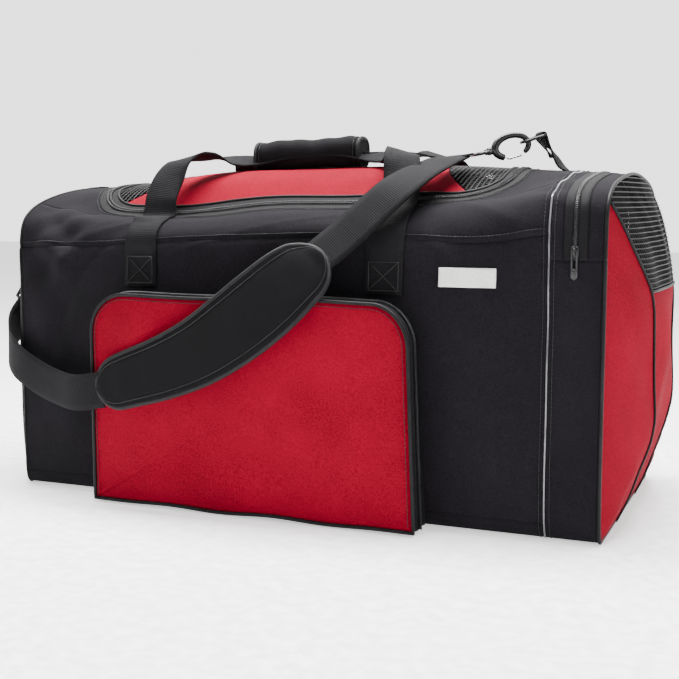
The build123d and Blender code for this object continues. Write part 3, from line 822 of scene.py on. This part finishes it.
def pocket_band(y_a, y_b, cols, lift=0.0):
    """Part of the gusset between two depths; None stands for the bag's own front."""
    edge = pocket_edge(160)
    wall = on_front(edge[:, 0], np.maximum(edge[:, 1], 0.03))[:, 1]
    a = wall if y_a is None else np.full(160, y_a)
    b = wall if y_b is None else np.full(160, y_b)
    t = span(0, 1, cols)[None, :]
    y = a[:, None] * (1 - t) + b[:, None] * t
    out = np.gradient(edge, axis=0)
    out = np.stack([-out[:, 1], out[:, 0]], -1)
    out /= np.linalg.norm(out, axis=1)[:, None]
    sag = lift - 0.0022 * np.sin(math.pi * (y - y.min()) / (y.max() - y.min())) ** 2
    x = edge[:, 0][:, None] + out[:, 0][:, None] * sag
    z = edge[:, 1][:, None] + out[:, 1][:, None] * sag
    return np.stack([x, y, z], -1)


for kind, half, y_a, y_b, body in (
        ("gusset", "rear", None, -0.2205, "root"),
        ("tape", "rear", -0.2207, -0.2262, "root"),
        ("tape", "front", -0.2278, -0.2335, "pocket_flap"),
        ("gusset", "front", -0.2333, POCKET_Y, "pocket_flap")):
    name = "pocket_%s_%s_cloth" % (kind, half)
    if kind == "gusset":
        band = shell(name, pocket_band(y_a, y_b, 7), fabric, POCKET_CLOTH, True)
        put(band, body, "black_fabric", "pocket_gusset_" + half)
    else:
        band = shell(name, pocket_band(y_a, y_b, 4, TAPE_LIFT), tape_cloth, flip=True)
        put(band, body, "zipper_tape", "pocket_zipper_tape_" + half)
for name, y, body in (("rear", -0.2262, "root"), ("front", -0.2278, "pocket_flap")):
    line = pocket_band(y, y - 0.0001, 2, 0.0016)[:, 0]
    put(coil("pocket_teeth_" + name, line, (0, 1, 0)), body, "zipper_tape")


def pocket_front():
    """The red panel's grid, from its outline to its middle, and the outline."""
    edge = pocket_edge(190)
    foot = np.stack([span(edge[-1, 0], edge[0, 0], 80)[1:-1], np.full(78, 0.0045)], -1)
    foot[:, 1] += 0.0016 * np.sin(foot[:, 0] * 38) * np.sin(math.pi * span(0, 1, 78))
    loop = np.concatenate([edge, foot, edge[:1]])
    scale = span(1, 0.0, 34)[:, None, None] ** 1.2
    centre = np.array([0.0, 0.145])
    plan = centre + (loop[None] - centre) * np.maximum(scale, 0.004)
    x, z = plan[..., 0], plan[..., 1]
    crown = 0.0075 * (1 - scale[..., 0] ** 3)
    folds = 0.0016 * np.sin(26 * x + 17 * z) * np.sin(13 * x - 31 * z + 0.7)
    folds += 0.0022 * np.exp(-((z - 0.03) / 0.03) ** 2) * np.sin(44 * x + 1.1)
    folds += 0.0060 * np.exp(-((x + 0.16) / 0.035) ** 2 - ((z - 0.235) / 0.025) ** 2)
    folds -= 0.0060 * np.exp(-((x + 0.115 - 0.6 * (z - 0.25)) / 0.018) ** 2 - ((z - 0.245) / 0.04) ** 2)
    crown = crown + folds * (1 - scale[..., 0] ** 4)
    return np.stack([x, POCKET_Y - crown, z], -1), loop


front_grid, front_loop = pocket_front()
put(shell("pocket_red_cloth", front_grid, fabric_red, POCKET_CLOTH),
    "pocket_flap", "red_fabric", "pocket_front_panel")
cord_y = np.full(len(front_loop), POCKET_Y - 0.0008)
cord_line = np.stack([front_loop[:, 0], cord_y, front_loop[:, 1]], -1)[:-1]
put(tube("pocket_edge_cord", cord_line, 0.0025, piping_vinyl, closed=True),
    "pocket_flap", "piping", "pocket_piping")
base_x = span(-0.232, 0.233, 40)
base_y = span(-0.2065, POCKET_Y + 0.001, 8)
base_grid = np.stack(np.broadcast_arrays(base_x[:, None], base_y[None, :], 0.0042 + 0 * base_x[:, None]), -1)
base_grid[..., 2] += 0.0008 * np.sin(base_grid[..., 0] * 30)
put(shell("pocket_base_cloth", base_grid, fabric), "root", "black_fabric", "pocket_base_panel")


# ---- webbing, handles and strap
def ribbon(name, stations, material, count, thick=0.0022, cols=7, crown=0.0004):
    """A flat strap through stations of (centre, width, outward normal); its edges are slightly rounded."""
    rows = np.array([[*c, w, *(np.array(n, float) / np.linalg.norm(n))] for c, w, n in stations])
    rows = smooth_path(rows, count)
    centre, width, normal = rows[:, :3], rows[:, 3], rows[:, 4:]
    along = np.gradient(centre, axis=0)
    across = np.cross(along, normal)
    across /= np.linalg.norm(across, axis=1)[:, None]
    normal = np.cross(across, along)
    normal /= np.linalg.norm(normal, axis=1)[:, None]
    v = span(-0.5, 0.5, cols)
    rise = crown * (1 - (2 * v) ** 2)
    grid = (centre[:, None] + across[:, None] * (width[:, None] * v)[..., None]
            + normal[:, None] * (thick / 2 + rise)[None, :, None])
    return shell(name, grid, material, thick, flip=True)


def surface_station(x, p, width, lift=0.0022):
    """A strap's station lying on the bag at x and ring parameter p."""
    here, ahead, aside = bag(x, p), bag(x, p + 0.1), bag(x + 0.01, p)
    normal = np.cross(aside - here, ahead - here)
    normal = -normal / np.linalg.norm(normal)
    if np.dot(normal, here - np.array([here[0], 0, 0.2])) < 0:
        normal = -normal
    return (tuple(here + normal * lift), width, tuple(normal))


# The handles: where their legs are, the webbing's width, and how much further out the left legs are
HANDLE_X, WEB, LEAN = 0.178, 0.050, 0.006
# The height of a leg's foot and the ring parameter where the leg leaves the bag
FOOT_Z, LEAVE_P = 0.298, 8.72
# The free half loop, from the bag to the hand wrap: centre, width, outward normal
LOOP = (
    ((0.1775, -0.142, 0.4240), 0.050, (0, -0.85, 0.52)), ((0.174, -0.128, 0.451), 0.050, (0, -0.80, 0.60)),
    ((0.168, -0.112, 0.474), 0.048, (0.20, -0.55, 0.80)),
    ((0.156, -0.072, 0.483), 0.046, (0.45, -0.45, 0.78)),
    ((0.129, -0.034, 0.478), 0.040, (0.35, -0.60, 0.70)), ((0.100, -0.016, 0.478), 0.034, (0.1, -0.5, 0.85)),
    ((0.040, -0.010, 0.482), 0.032, (0, -0.1, 1)),
)


def turn_on(face, p):
    """The ring parameter on the front (face -1) or, mirrored, on the back (face 1)."""
    return float(p if face < 0 else LAST - p)


def handle_stations(face):
    """One carry handle from foot to foot; face is -1 on the front and 1 on the back."""
    def leg(x):
        turns = span(param_at(x, FOOT_Z, 2, 3.0, 10.0), LEAVE_P, 12)
        return [surface_station(x, turn_on(face, p), WEB) for p in turns]

    def half(sign, shift, drop):
        rows = []
        for k, (c, w, n) in enumerate(LOOP):
            x = sign * c[0] - shift * max(0, 1 - k / 4)
            rows.append(((x, -face * c[1], c[2] - drop), w, (sign * n[0], -face * n[1], n[2])))
        return rows
    right = leg(HANDLE_X) + half(1, 0, 0)
    left = leg(-HANDLE_X - LEAN) + half(-1, LEAN, 0.003)
    return right + left[::-1]


def box_stitch(name, x, face):
    """The square with a cross that holds a handle's foot."""
    def point(u, z):
        return bag(x + u, turn_on(face, param_at(x + u, z, 2, 3.0, 10.0)), 0.0046)
    w, low, high = 0.020, 0.303, 0.339
    corners = [(-w, low), (w, low), (w, high), (-w, high), (-w, low), (w, high), (w, low), (-w, high)]
    path = []
    for (ua, za), (ub, zb) in zip(corners, corners[1:]):
        path += [point(ua + (ub - ua) * t, za + (zb - za) * t) for t in span(0, 1, 9)[:-1]]
    return tube(name, path, 0.0007, thread, 5)


for side, face, body in (("front", -1, "front_handle"), ("back", 1, "back_handle")):
    bend(ribbon("handle_web_" + side, handle_stations(face), webbing_cloth, 260), "webbing", body,
         (0, face * 0.172, 0.396), (0, face * 0.142, 0.424), side + "_handle_legs", side + "_handle_loop")
    for sign in (-1, 1):
        name = "stitch_%s_%s" % (side, "left" if sign < 0 else "right")
        put(box_stitch(name, HANDLE_X if sign > 0 else -HANDLE_X - LEAN, face), "root", "webbing")


def loft(name, rings, material):
    """A closed form through rings of points, with capped ends."""
    rings = np.asarray(rings, float)
    rows, cols = rings.shape[:2]
    verts = rings.reshape(-1, 3).tolist()
    faces = []
    for i in range(rows - 1):
        for j in range(cols):
            k = (j + 1) % cols
            faces.append((i * cols + j, i * cols + k, (i + 1) * cols + k, (i + 1) * cols + j))
    faces.append(tuple(reversed(range(cols))))
    faces.append(tuple((rows - 1) * cols + j for j in range(cols)))
    run = np.concatenate([[0], np.cumsum(np.linalg.norm(np.diff(rings.mean(1), axis=0), axis=1))])
    girth = np.concatenate([[0], np.cumsum(np.linalg.norm(np.diff(rings[rows // 2], axis=0), axis=1))])
    uv = np.stack(np.broadcast_arrays(run[:, None], girth[None, :]), -1).reshape(-1, 2)
    return new_object(name, verts, faces, material, uv, (len(faces) - 2, len(faces) - 1))


def superellipse(count, half_a, half_b, power):
    """A rounded rectangle's points; a higher power gives squarer corners."""
    t = np.arange(count) * 2 * math.pi / count
    a = np.sign(np.cos(t)) * np.abs(np.cos(t)) ** (2 / power) * half_a
    b = np.sign(np.sin(t)) * np.abs(np.sin(t)) ** (2 / power) * half_b
    return a, b


WRAP_POINTS = 44


def wrap_ring(x, grow):
    """A cross-section of the padded wrap: a soft oval whose lower front carries the closing flap."""
    y, z = superellipse(WRAP_POINTS, 0.0235 * grow, 0.0225 * grow, 2.5)
    tilt = 0.4835 + 0.035 * (x + 0.012)
    ripple = 0.0007 * np.sin(x * 160 + y * 90) + 0.0009 * np.sin(x * 71 - z * 60)
    return np.stack([np.full(WRAP_POINTS, x), y * (1 + ripple * 18), tilt + z + ripple], -1)


WRAP_LOW, WRAP_HIGH = -0.096, 0.070
FLAP_POINT = 30
wrap_rings = []
for x in span(WRAP_LOW, WRAP_HIGH, 60):
    from_end = min(x - WRAP_LOW, WRAP_HIGH - x)
    puff = 0.86 + 0.16 * min(1, from_end / 0.016) ** 0.5 - 0.02 * math.sin(x * 60) ** 2
    wrap_rings.append(wrap_ring(x, puff))
wrap = loft("wrap_pad", wrap_rings, padding_cloth)
put(wrap, "front_handle", "padding", "handle_wrap")
for n, x in enumerate((WRAP_LOW + 0.0015, WRAP_HIGH - 0.0015)):
    put(tube("wrap_binding_%d" % n, wrap_ring(x, 0.93), 0.0028, binding_cloth, closed=True),
        "front_handle", "padding")
flap_edge = np.array([wrap_ring(x, 1.02)[FLAP_POINT] for x in span(WRAP_LOW, WRAP_HIGH, 40)])
put(tube("wrap_flap_edge", flap_edge, 0.0022, binding_cloth, 7), "front_handle", "padding")
for n, x in enumerate((WRAP_LOW + 0.008, WRAP_HIGH - 0.008)):
    put(tube("wrap_stitch_%d" % n, wrap_ring(x, 0.995), 0.0006, thread, 5, closed=True), "front_handle",
        "padding")

# The shoulder strap's two webs: centre, width, outward normal
STRAP_RIGHT = (
    ((0.2433, -0.0495, 0.4785), 0.048, (-0.2, -0.1, 1)), ((0.2294, -0.0575, 0.4755), 0.050, (-0.1, -0.15, 1)),
    ((0.221, -0.084, 0.471), 0.050, (0, -0.3, 1)), ((0.213, -0.112, 0.463), 0.050, (0, -0.5, 1)),
    ((0.204, -0.144, 0.453), 0.050, (0, -0.8, 1)), ((0.184, -0.183, 0.431), 0.050, (0, -1, 0.7)),
    ((0.156, -0.205, 0.400), 0.050, (0, -1, 0.5)), ((0.128, -0.221, 0.371), 0.050, (0, -1, 0.45)),
    ((0.098, -0.239, 0.343), 0.050, (0, -1, 0.4)),
)
STRAP_LEFT = (
    ((-0.208, -0.2655, 0.161), 0.050, (0, -1, 0)), ((-0.255, -0.260, 0.153), 0.050, (-0.2, -1, 0)),
    ((-0.300, -0.242, 0.156), 0.050, (-0.35, -1, 0)), ((-0.345, -0.226, 0.166), 0.050, (-0.4, -1, 0.05)),
    ((-0.385, -0.216, 0.184), 0.050, (-0.6, -1, 0.1)), ((-0.418, -0.192, 0.205), 0.050, (-0.9, -0.6, 0.1)),
    ((-0.438, -0.150, 0.230), 0.050, (-1, -0.1, 0)), ((-0.439, -0.112, 0.260), 0.050, (-1, 0, 0)),
    ((-0.438, -0.082, 0.291), 0.050, (-1, 0, 0)), ((-0.437, -0.0594, 0.3198), 0.050, (-1, 0, 0)),
)
bend(ribbon("strap_right_web", STRAP_RIGHT, webbing_cloth, 120), "webbing", "right_clip",
     (0.190, -0.125, 0.466), (0.236, -0.055, 0.494), "strap_web_right")
put(ribbon("strap_left_web", STRAP_LEFT, webbing_cloth, 120), "root", "webbing", "strap_web_left")

# The shoulder pad's middle line and width
PAD = (
    (0.106, -0.238, 0.351, 0.066), (0.090, -0.247, 0.334, 0.076), (0.072, -0.256, 0.318, 0.086),
    (0.038, -0.264, 0.288, 0.094), (-0.008, -0.266, 0.253, 0.094), (-0.056, -0.266, 0.222, 0.088),
    (-0.110, -0.266, 0.197, 0.080), (-0.165, -0.266, 0.178, 0.072), (-0.214, -0.265, 0.161, 0.064),
)
# The pad's end rounding, half thickness, rings along it, and how many fine steps they are picked from
PAD_ROUND, PAD_HALF, PAD_RINGS, PAD_STEPS = 0.034, 0.0062, 90, 1200
PAD_OUT = np.array([0, -1.0, 0.12])


def pad_frame(count):
    """Centres, widths and directions along the pad, closer together at its rounded ends."""
    rows = smooth_path(np.array(PAD), PAD_STEPS)
    share = 0.5 - 0.5 * np.cos(math.pi * span(0, 1, count))
    share = 0.85 * share + 0.15 * span(0, 1, count)
    rows = rows[np.round(share * (PAD_STEPS - 1)).astype(int)]
    centre, width = rows[:, :3], rows[:, 3]
    run = np.concatenate([[0], np.cumsum(np.linalg.norm(np.diff(centre, axis=0), axis=1))])
    from_end = np.clip(np.minimum(run, run[-1] - run) / PAD_ROUND, 0.003, 1)
    width = width * np.sqrt(1 - (1 - from_end) ** 2)
    along = np.gradient(centre, axis=0)
    along /= np.linalg.norm(along, axis=1)[:, None]
    normal = PAD_OUT - along * (along @ PAD_OUT)[:, None]
    normal /= np.linalg.norm(normal, axis=1)[:, None]
    return centre, width, along, normal, np.cross(along, normal)


centre, width, along, normal, across = pad_frame(PAD_RINGS)
pad_rings = []
for n in range(PAD_RINGS):
    a, b = superellipse(48, width[n] / 2, PAD_HALF, 2.3)
    inner = np.abs(a) / (width[n] / 2)
    groove = 0.0014 * np.exp(-((inner - 0.80) / 0.06) ** 2)
    wave = 0.0006 * math.sin(n * 0.55) * (1 - inner ** 2)
    b = np.sign(b) * np.maximum(np.abs(b) - groove, 0.0004) + wave
    pad_rings.append(centre[n] + across[n] * a[:, None] + normal[n] * b[:, None])
pad = loft("shoulder_pad_cover", pad_rings, padding_cloth)
put(pad, "root", "padding", "shoulder_pad")


def pad_loop(share, lift):
    """A closed line round the pad, at a share of its half width."""
    out, up = across * (width * share / 2)[:, None], normal * lift
    return np.concatenate([centre + out + up, (centre - out + up)[::-1]])


put(tube("pad_binding", pad_loop(1.0, 0.0), 0.0034, binding_cloth, closed=True), "root", "padding")
put(tube("pad_stitch", pad_loop(0.80, PAD_HALF * 0.62), 0.0007, thread, 5, closed=True), "root", "padding")

# The right tab is sewn down at its foot and wraps round the straight side of its D-ring at the top.
RIGHT_TAB = (
    ((0.366, 0, 0.4560), 0.028, (0.5, 0, 0.86)), ((0.358, 0, 0.4620), 0.028, (0.70, -0.10, 0.65)),
    ((0.350, 0, 0.474), 0.027, (0.86, -0.05, 0.45)), ((0.341, 0, 0.489), 0.026, (0.84, 0.25, 0.46)),
    ((0.3335, 0.0014, 0.5015), 0.025, (0.82, 0.45, 0.32)),
    ((0.3317, 0.0012, 0.5067), 0.025, (0.61, 0.35, 0.71)), ((0.3290, 0, 0.5082), 0.025, (0, 0, 1)),
    ((0.3262, -0.0014, 0.5066), 0.025, (-0.61, -0.35, 0.71)),
    ((0.3258, -0.0016, 0.5025), 0.025, (-0.86, -0.50, -0.10)),
    ((0.3300, -0.0008, 0.4960), 0.025, (-0.84, -0.40, -0.36)),
    ((0.3370, -0.0004, 0.4855), 0.026, (-0.86, -0.20, -0.46)),
    ((0.3440, 0, 0.4745), 0.026, (-0.87, 0, -0.48)),
)
bend(ribbon("right_tab_web", RIGHT_TAB, webbing_cloth, 90), "webbing", "right_clip",
     (0.360, 0, 0.460), (0.341, 0, 0.488), "right_ring_tab")
put(ribbon("left_tab_web", (
    ((-0.374, 0, 0.4370), 0.025, (0, 0, 1)), ((-0.400, 0, 0.4345), 0.025, (-0.25, 0, 1)),
    ((-0.425, 0, 0.424), 0.025, (-0.8, 0, 0.6)), ((-0.437, 0, 0.403), 0.025, (-1, 0, 0.1)),
), webbing_cloth, 40), "root", "webbing", "left_ring_tab")

# The plain label lies on the front panel.
label_x = np.repeat(span(0.250, 0.322, 24)[:, None], 8, 1)
label_z = np.repeat(span(0.310, 0.334, 8)[None, :], 24, 0)
label = shell("label_cloth_patch", on_front(label_x, label_z, 0.0022), label_cloth, TAPE_CLOTH)
put(label, "root", "label", "label_patch")


# ---- hardware
class Place:
    """A local frame: an origin, an X direction and a Z direction."""

    def __init__(self, origin, x_way, z_way):
        self.origin = np.array(origin, float)
        self.x = np.array(x_way, float) / np.linalg.norm(x_way)
        z = np.array(z_way, float)
        z -= self.x * (z @ self.x)
        self.z = z / np.linalg.norm(z)
        self.y = np.cross(self.z, self.x)

    def at(self, points):
        points = np.atleast_2d(np.asarray(points, float))
        return self.origin + points[:, :1] * self.x + points[:, 1:2] * self.y + points[:, 2:3] * self.z


def rounded_bar(name, place, sections, material, power=4.0):
    """A moulded form along a local X axis from sections of (position, half y, half z), with softened ends."""
    rings = []
    for position, half_y, half_z in sections:
        y, z = superellipse(28, half_y, half_z, power)
        rings.append(place.at(np.stack([np.full(28, position), y, z], -1)))
    return loft(name, rings, material)


def arc_points(cx, cy, rx, ry, start, stop, count):
    """Points of an ellipse's arc in the local XY plane, from one angle to another in degrees."""
    t = np.radians(span(start, stop, count))
    return [(cx + rx * math.cos(a), cy + ry * math.sin(a), 0.0) for a in t]


# The clip's turned parts along the hook's X: (position, half y, half z)
COLLAR = ((-0.0345, 0.0046, 0.0046), (-0.0340, 0.0052, 0.0052), (-0.0290, 0.0052, 0.0052),
          (-0.0280, 0.0040, 0.0040), (-0.0262, 0.0040, 0.0040), (-0.0240, 0.0048, 0.0040))
RIB = ((-0.0024, 0.0004, 0.0005), (-0.0018, 0.0008, 0.0010), (0.0018, 0.0008, 0.0010),
       (0.0024, 0.0004, 0.0005))
BARREL = ((-0.0385, 0.0030, 0.0030), (-0.0375, 0.0042, 0.0042), (-0.0352, 0.0042, 0.0042),
          (-0.0348, 0.0030, 0.0030))
# The gate's wire in the hook's plane, and half of the strap eye's loop in x and z
GATE_WIRE = ((-0.0095, -0.0130, 0), (-0.0085, -0.0147, 0), (0.0, -0.0149, 0), (0.0115, -0.0146, 0))
EYE_HALF = ((-0.0375, 0), (-0.0375, 0.022), (-0.040, 0.0275), (-0.046, 0.0288), (-0.052, 0.0275),
            (-0.0542, 0.022))


def clip_pieces(side, hook, ring, hook_body, gate_body, eye_body):
    """One swivel clip: its D-ring, hook with ridged back, barrel and strap eye."""
    bow = [(-0.017, 0.0, 0), (-0.008, 0.0, 0), (0.008, 0.0, 0), (0.017, 0.0, 0), (0.017, 0.007, 0)]
    bow += arc_points(0, 0.012, 0.017, 0.017, 0, 180, 21) + [(-0.017, 0.007, 0)]
    put(tube(side + "_ring_wire", ring.at(bow), 0.0021, black_metal, 10, closed=True),
        hook_body, "black_metal", side + "_d_ring")
    path = arc_points(0, 0, 0.0237, 0.0147, 236, -48, 54)
    girth = 0.0040 + 0.0014 * np.exp(-((span(0, 1, 54) - 0.22) / 0.2) ** 2)
    girth[-5:] *= (1.0, 0.98, 0.94, 0.86, 0.7)
    parts = [tube(side + "_hook_arc", hook.at(path), girth, hook_plastic, 14, flatten=(hook.z, 0.94))]
    parts.append(rounded_bar(side + "_hook_neck", hook, COLLAR, hook_plastic, 2.4))
    for k in range(7):
        angle = math.radians(150 - 11 * k)
        spot = Place(hook.at([(0.0262 * math.cos(angle), 0.0172 * math.sin(angle), 0)])[0], hook.z, hook.x)
        parts.append(rounded_bar(side + "_rib", spot, RIB, hook_plastic, 2.5))
    put(join(side + "_hook_body", parts), hook_body, "hook_plastic", side + "_snap_hook")
    put(tube(side + "_gate_wire", hook.at(smooth_path(GATE_WIRE, 14)), 0.0013, bright_metal),
        gate_body, "zip_metal", side + "_hook_gate")
    eye_loop = [(x, 0.0, z) for x, z in EYE_HALF] + [(-0.0545, 0.0, 0.0)]
    eye_loop += [(x, 0.0, -z) for x, z in EYE_HALF[:0:-1]]
    eye = [tube(side + "_eye_loop", hook.at(eye_loop), 0.0022, hook_plastic, 10, closed=True)]
    eye.append(rounded_bar(side + "_eye_neck", hook, BARREL, hook_plastic, 2.4))
    put(join(side + "_eye", eye), eye_body, "hook_plastic", side + "_swivel_eye")


# The right clip lies 30 degrees off the bag's length.
C30 = math.cos(math.radians(30))
clip_pieces(
    "right",
    Place((0.329 - 0.041 * C30, -0.0205, 0.4895), (C30 * 0.975, 0.4875, 0.22), (0.5, -C30, 0)),
    Place((0.329, 0, 0.504), (-0.5, C30, 0), (-0.32 * C30, -0.16, 0.95)),
    "right_clip", "right_gate", "right_eye")
clip_pieces(
    "left",
    Place((-0.437, -0.0246, 0.3662), (0, 0.6, 0.8), (0, 0.8, -0.6)),
    Place((-0.437, 0, 0.399), (0, 1, 0), (-1, 0, 0)),
    "root", "left_gate", "left_eye")


# A slider's plate along its X: (position, half y, half z), and the path of its bridge
SLIDER_WINGS = ((-0.0068, 0.0030, 0.0008), (-0.0060, 0.0040, 0.0012), (0.0, 0.0047, 0.0014),
                (0.0052, 0.0047, 0.0014), (0.0068, 0.0038, 0.0009))
SLIDER_BRIDGE = ((-0.0045, 0, 0.0028), (-0.0040, 0, 0.0052), (-0.0015, 0, 0.0068), (0.0020, 0, 0.0068),
                 (0.0042, 0, 0.0052), (0.0046, 0, 0.0028))


def zipper_hardware(name, place, length, body_material, moving, pull_body):
    """A slider with bevelled wings and a bridge, and a moulded loop pull that trails behind it."""
    plate = Place(place.at([(0, 0, 0.0018)])[0], place.x, place.z)
    parts = [rounded_bar(name + "_plate", plate, SLIDER_WINGS, body_material, 3.5),
             tube(name + "_bridge", place.at(SLIDER_BRIDGE), 0.0013, body_material, flatten=(place.x, 0.9))]
    put(join(name + "_slider_body", parts), moving, "zip_metal", name + "_slider")
    end = 0.0015 - length + 0.0005
    near_side = [(0.0012, 0.0026, 0.0046), (-0.006, 0.0030, 0.0044), (end * 0.6, 0.0029, 0.0040),
                 (end + 0.002, 0.0030, 0.0040)]
    far_side = [(x, -y, z) for x, y, z in reversed(near_side)]
    loop = [(0.0018, 0, 0.0046)] + near_side + [(end, 0, 0.0040)] + far_side
    grip = ((end + 0.0005, 0.0022, 0.0007), (end + 0.0015, 0.0036, 0.0013), (end * 0.62, 0.0036, 0.0013),
            (end * 0.60, 0.0024, 0.0008))
    held = Place(place.at([(0, 0, 0.0042)])[0], place.x, place.z)
    parts = [tube(name + "_loop", place.at(loop), 0.0011, pull_rubber, closed=True),
             rounded_bar(name + "_grip", held, grip, pull_rubber, 3.0)]
    for k in range(5):
        x = end * 0.66 + (end * 0.28) * k / 4
        for lift in (-0.0014, 0.0014):
            ridge = held.at([(x, -0.0026, lift), (x, 0, lift * 1.08), (x, 0.0026, lift)])
            parts.append(tube(name + "_ridge", ridge, 0.00045, pull_rubber, 5))
    put(join(name + "_pull_loop", parts), pull_body, "pull_plastic", name + "_pull")


zipper_hardware("lid", Place((0.190, -0.13575, 0.4205), (1, 0, 0), (0, -0.45, 0.89)), 0.026,
                black_metal, "lid_slider", "lid_pull")
zipper_hardware("pocket", Place((-0.2344, -0.227, 0.085), (0, 0, 1), (-1, 0, 0)), 0.040,
                bright_metal, "pocket_slider", "pocket_pull")
zipper_hardware("end", Place((0.419, -0.2054, 0.356), (0, 0, 1), (0, -1, 0)), 0.034,
                black_metal, "end_slider", "end_pull")


# ---- seam stitching
STITCH_STEP, STITCH_ON, STITCH_OFF = 0.0010, 4, 1
SEAM_MARGIN = 0.004


def stitches(name, path, body):
    """A row of separate stitches along a path of points, each a few steps long with a gap between."""
    path = resample(path, STITCH_STEP)
    rows = [tube(name + "_s", path[n:n + STITCH_ON + 1:2], 0.00050, thread, 4)
            for n in range(0, len(path) - STITCH_ON - 1, STITCH_ON + STITCH_OFF)]
    put(join(name, rows), body, "webbing")


stitch_xs = span(LEFT_X + SEAM_MARGIN, RIGHT_X - SEAM_MARGIN, 160)
for name, p in (("front_seam_stitch", SEAM + 0.14), ("back_seam_stitch", LAST - SEAM - 0.14)):
    stitches(name, bag(stitch_xs, np.full(160, p), 0.0004), "root")
for name, x in (("gusset_stitch_main", RIGHT_X - 0.0065), ("gusset_stitch_end", RIGHT_X + 0.0065)):
    stitches(name, ring_path(x, 2.2, LAST - 2.2, 300, 0.0004), "root")
stitches("opening_stitch", plan_path(TAPE + 0.0035, 0.0005), "root")
inner_edge = pocket_edge(200, 0.0065)
stitches("pocket_stitch", np.stack([inner_edge[:, 0], np.full(200, POCKET_Y - 0.0026), inner_edge[:, 1]], -1),
         "pocket_flap")


# ---- carried-over CAD parts
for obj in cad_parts.values():
    for held in obj.material_slots:
        held.material = SLOT_LOOKS[held.material.name.split(".")[0]]


# ---- floor, light and camera
FLOOR_HALF, FLOOR_Z = 8, -0.0008
floor_look = moulded("pale_floor", (0.90, 0.90, 0.90), 0.80, scratch=0.05)
floor_glow = floor_look.node_tree.nodes["Principled BSDF"].inputs
floor_glow["Emission Color"].default_value = (1, 1, 1, 1)
floor_glow["Emission Strength"].default_value = 0.75
floor_corners = [(x * FLOOR_HALF, y * FLOOR_HALF, FLOOR_Z) for x, y in ((-1, -1), (1, -1), (1, 1), (-1, 1))]
new_object("floor", floor_corners, [(0, 1, 2, 3)], floor_look)


def softbox(name, place, target, size, power):
    """A rectangular area light that faces a target."""
    light = bpy.data.lights.new(name, "AREA")
    light.shape = "RECTANGLE"
    light.size, light.size_y = size
    light.energy = power
    obj = bpy.data.objects.new(name, light)
    obj.location = place
    obj.rotation_euler = (Vector(target) - Vector(place)).to_track_quat("-Z", "Y").to_euler()
    bpy.context.scene.collection.objects.link(obj)


softbox("key_light", (-1.0, -2.0, 2.3), (0, 0, 0.25), (1.6, 1.2), 42)
softbox("right_light", (2.9, -0.9, 1.3), (0.3, 0, 0.25), (1.2, 1.6), 45)
softbox("top_light", (0.0, 0.20, 2.4), (0, 0, 0.4), (2.2, 1.0), 330)

# The studio round the bag is soft from the front and bright behind it.
world = bpy.data.worlds.new("studio")
world.use_nodes = True
sky = world.node_tree
direction = sky.nodes.new("ShaderNodeTexCoord")
toward = sky.nodes.new("ShaderNodeVectorMath")
toward.operation = "DOT_PRODUCT"
toward.inputs[1].default_value = (-0.30, 0.95, 0.0)
spread = sky.nodes.new("ShaderNodeMapRange")
spread.interpolation_type = "SMOOTHSTEP"
for socket, value in (("From Min", 0.0), ("From Max", 0.85), ("To Min", 0.42), ("To Max", 2.6)):
    spread.inputs[socket].default_value = value
sky.links.new(direction.outputs["Generated"], toward.inputs[0])
sky.links.new(toward.outputs["Value"], spread.inputs["Value"])
sky.links.new(spread.outputs["Result"], sky.nodes["Background"].inputs["Strength"])
sky.nodes["Background"].inputs["Color"].default_value = (1, 1, 1, 1)
bpy.context.scene.world = world

camera_data = bpy.data.cameras.new("camera")
camera_data.lens = 61.8
camera_data.sensor_width = 36.0
camera = bpy.data.objects.new("camera", camera_data)
camera.location = (0.6905, -1.590, 0.418)
CAMERA_DOWN, CAMERA_TURN = 6.85, 22.5
camera.rotation_euler = (math.radians(90 - CAMERA_DOWN), 0, math.radians(CAMERA_TURN))
bpy.context.scene.collection.objects.link(camera)
bpy.context.scene.camera = camera
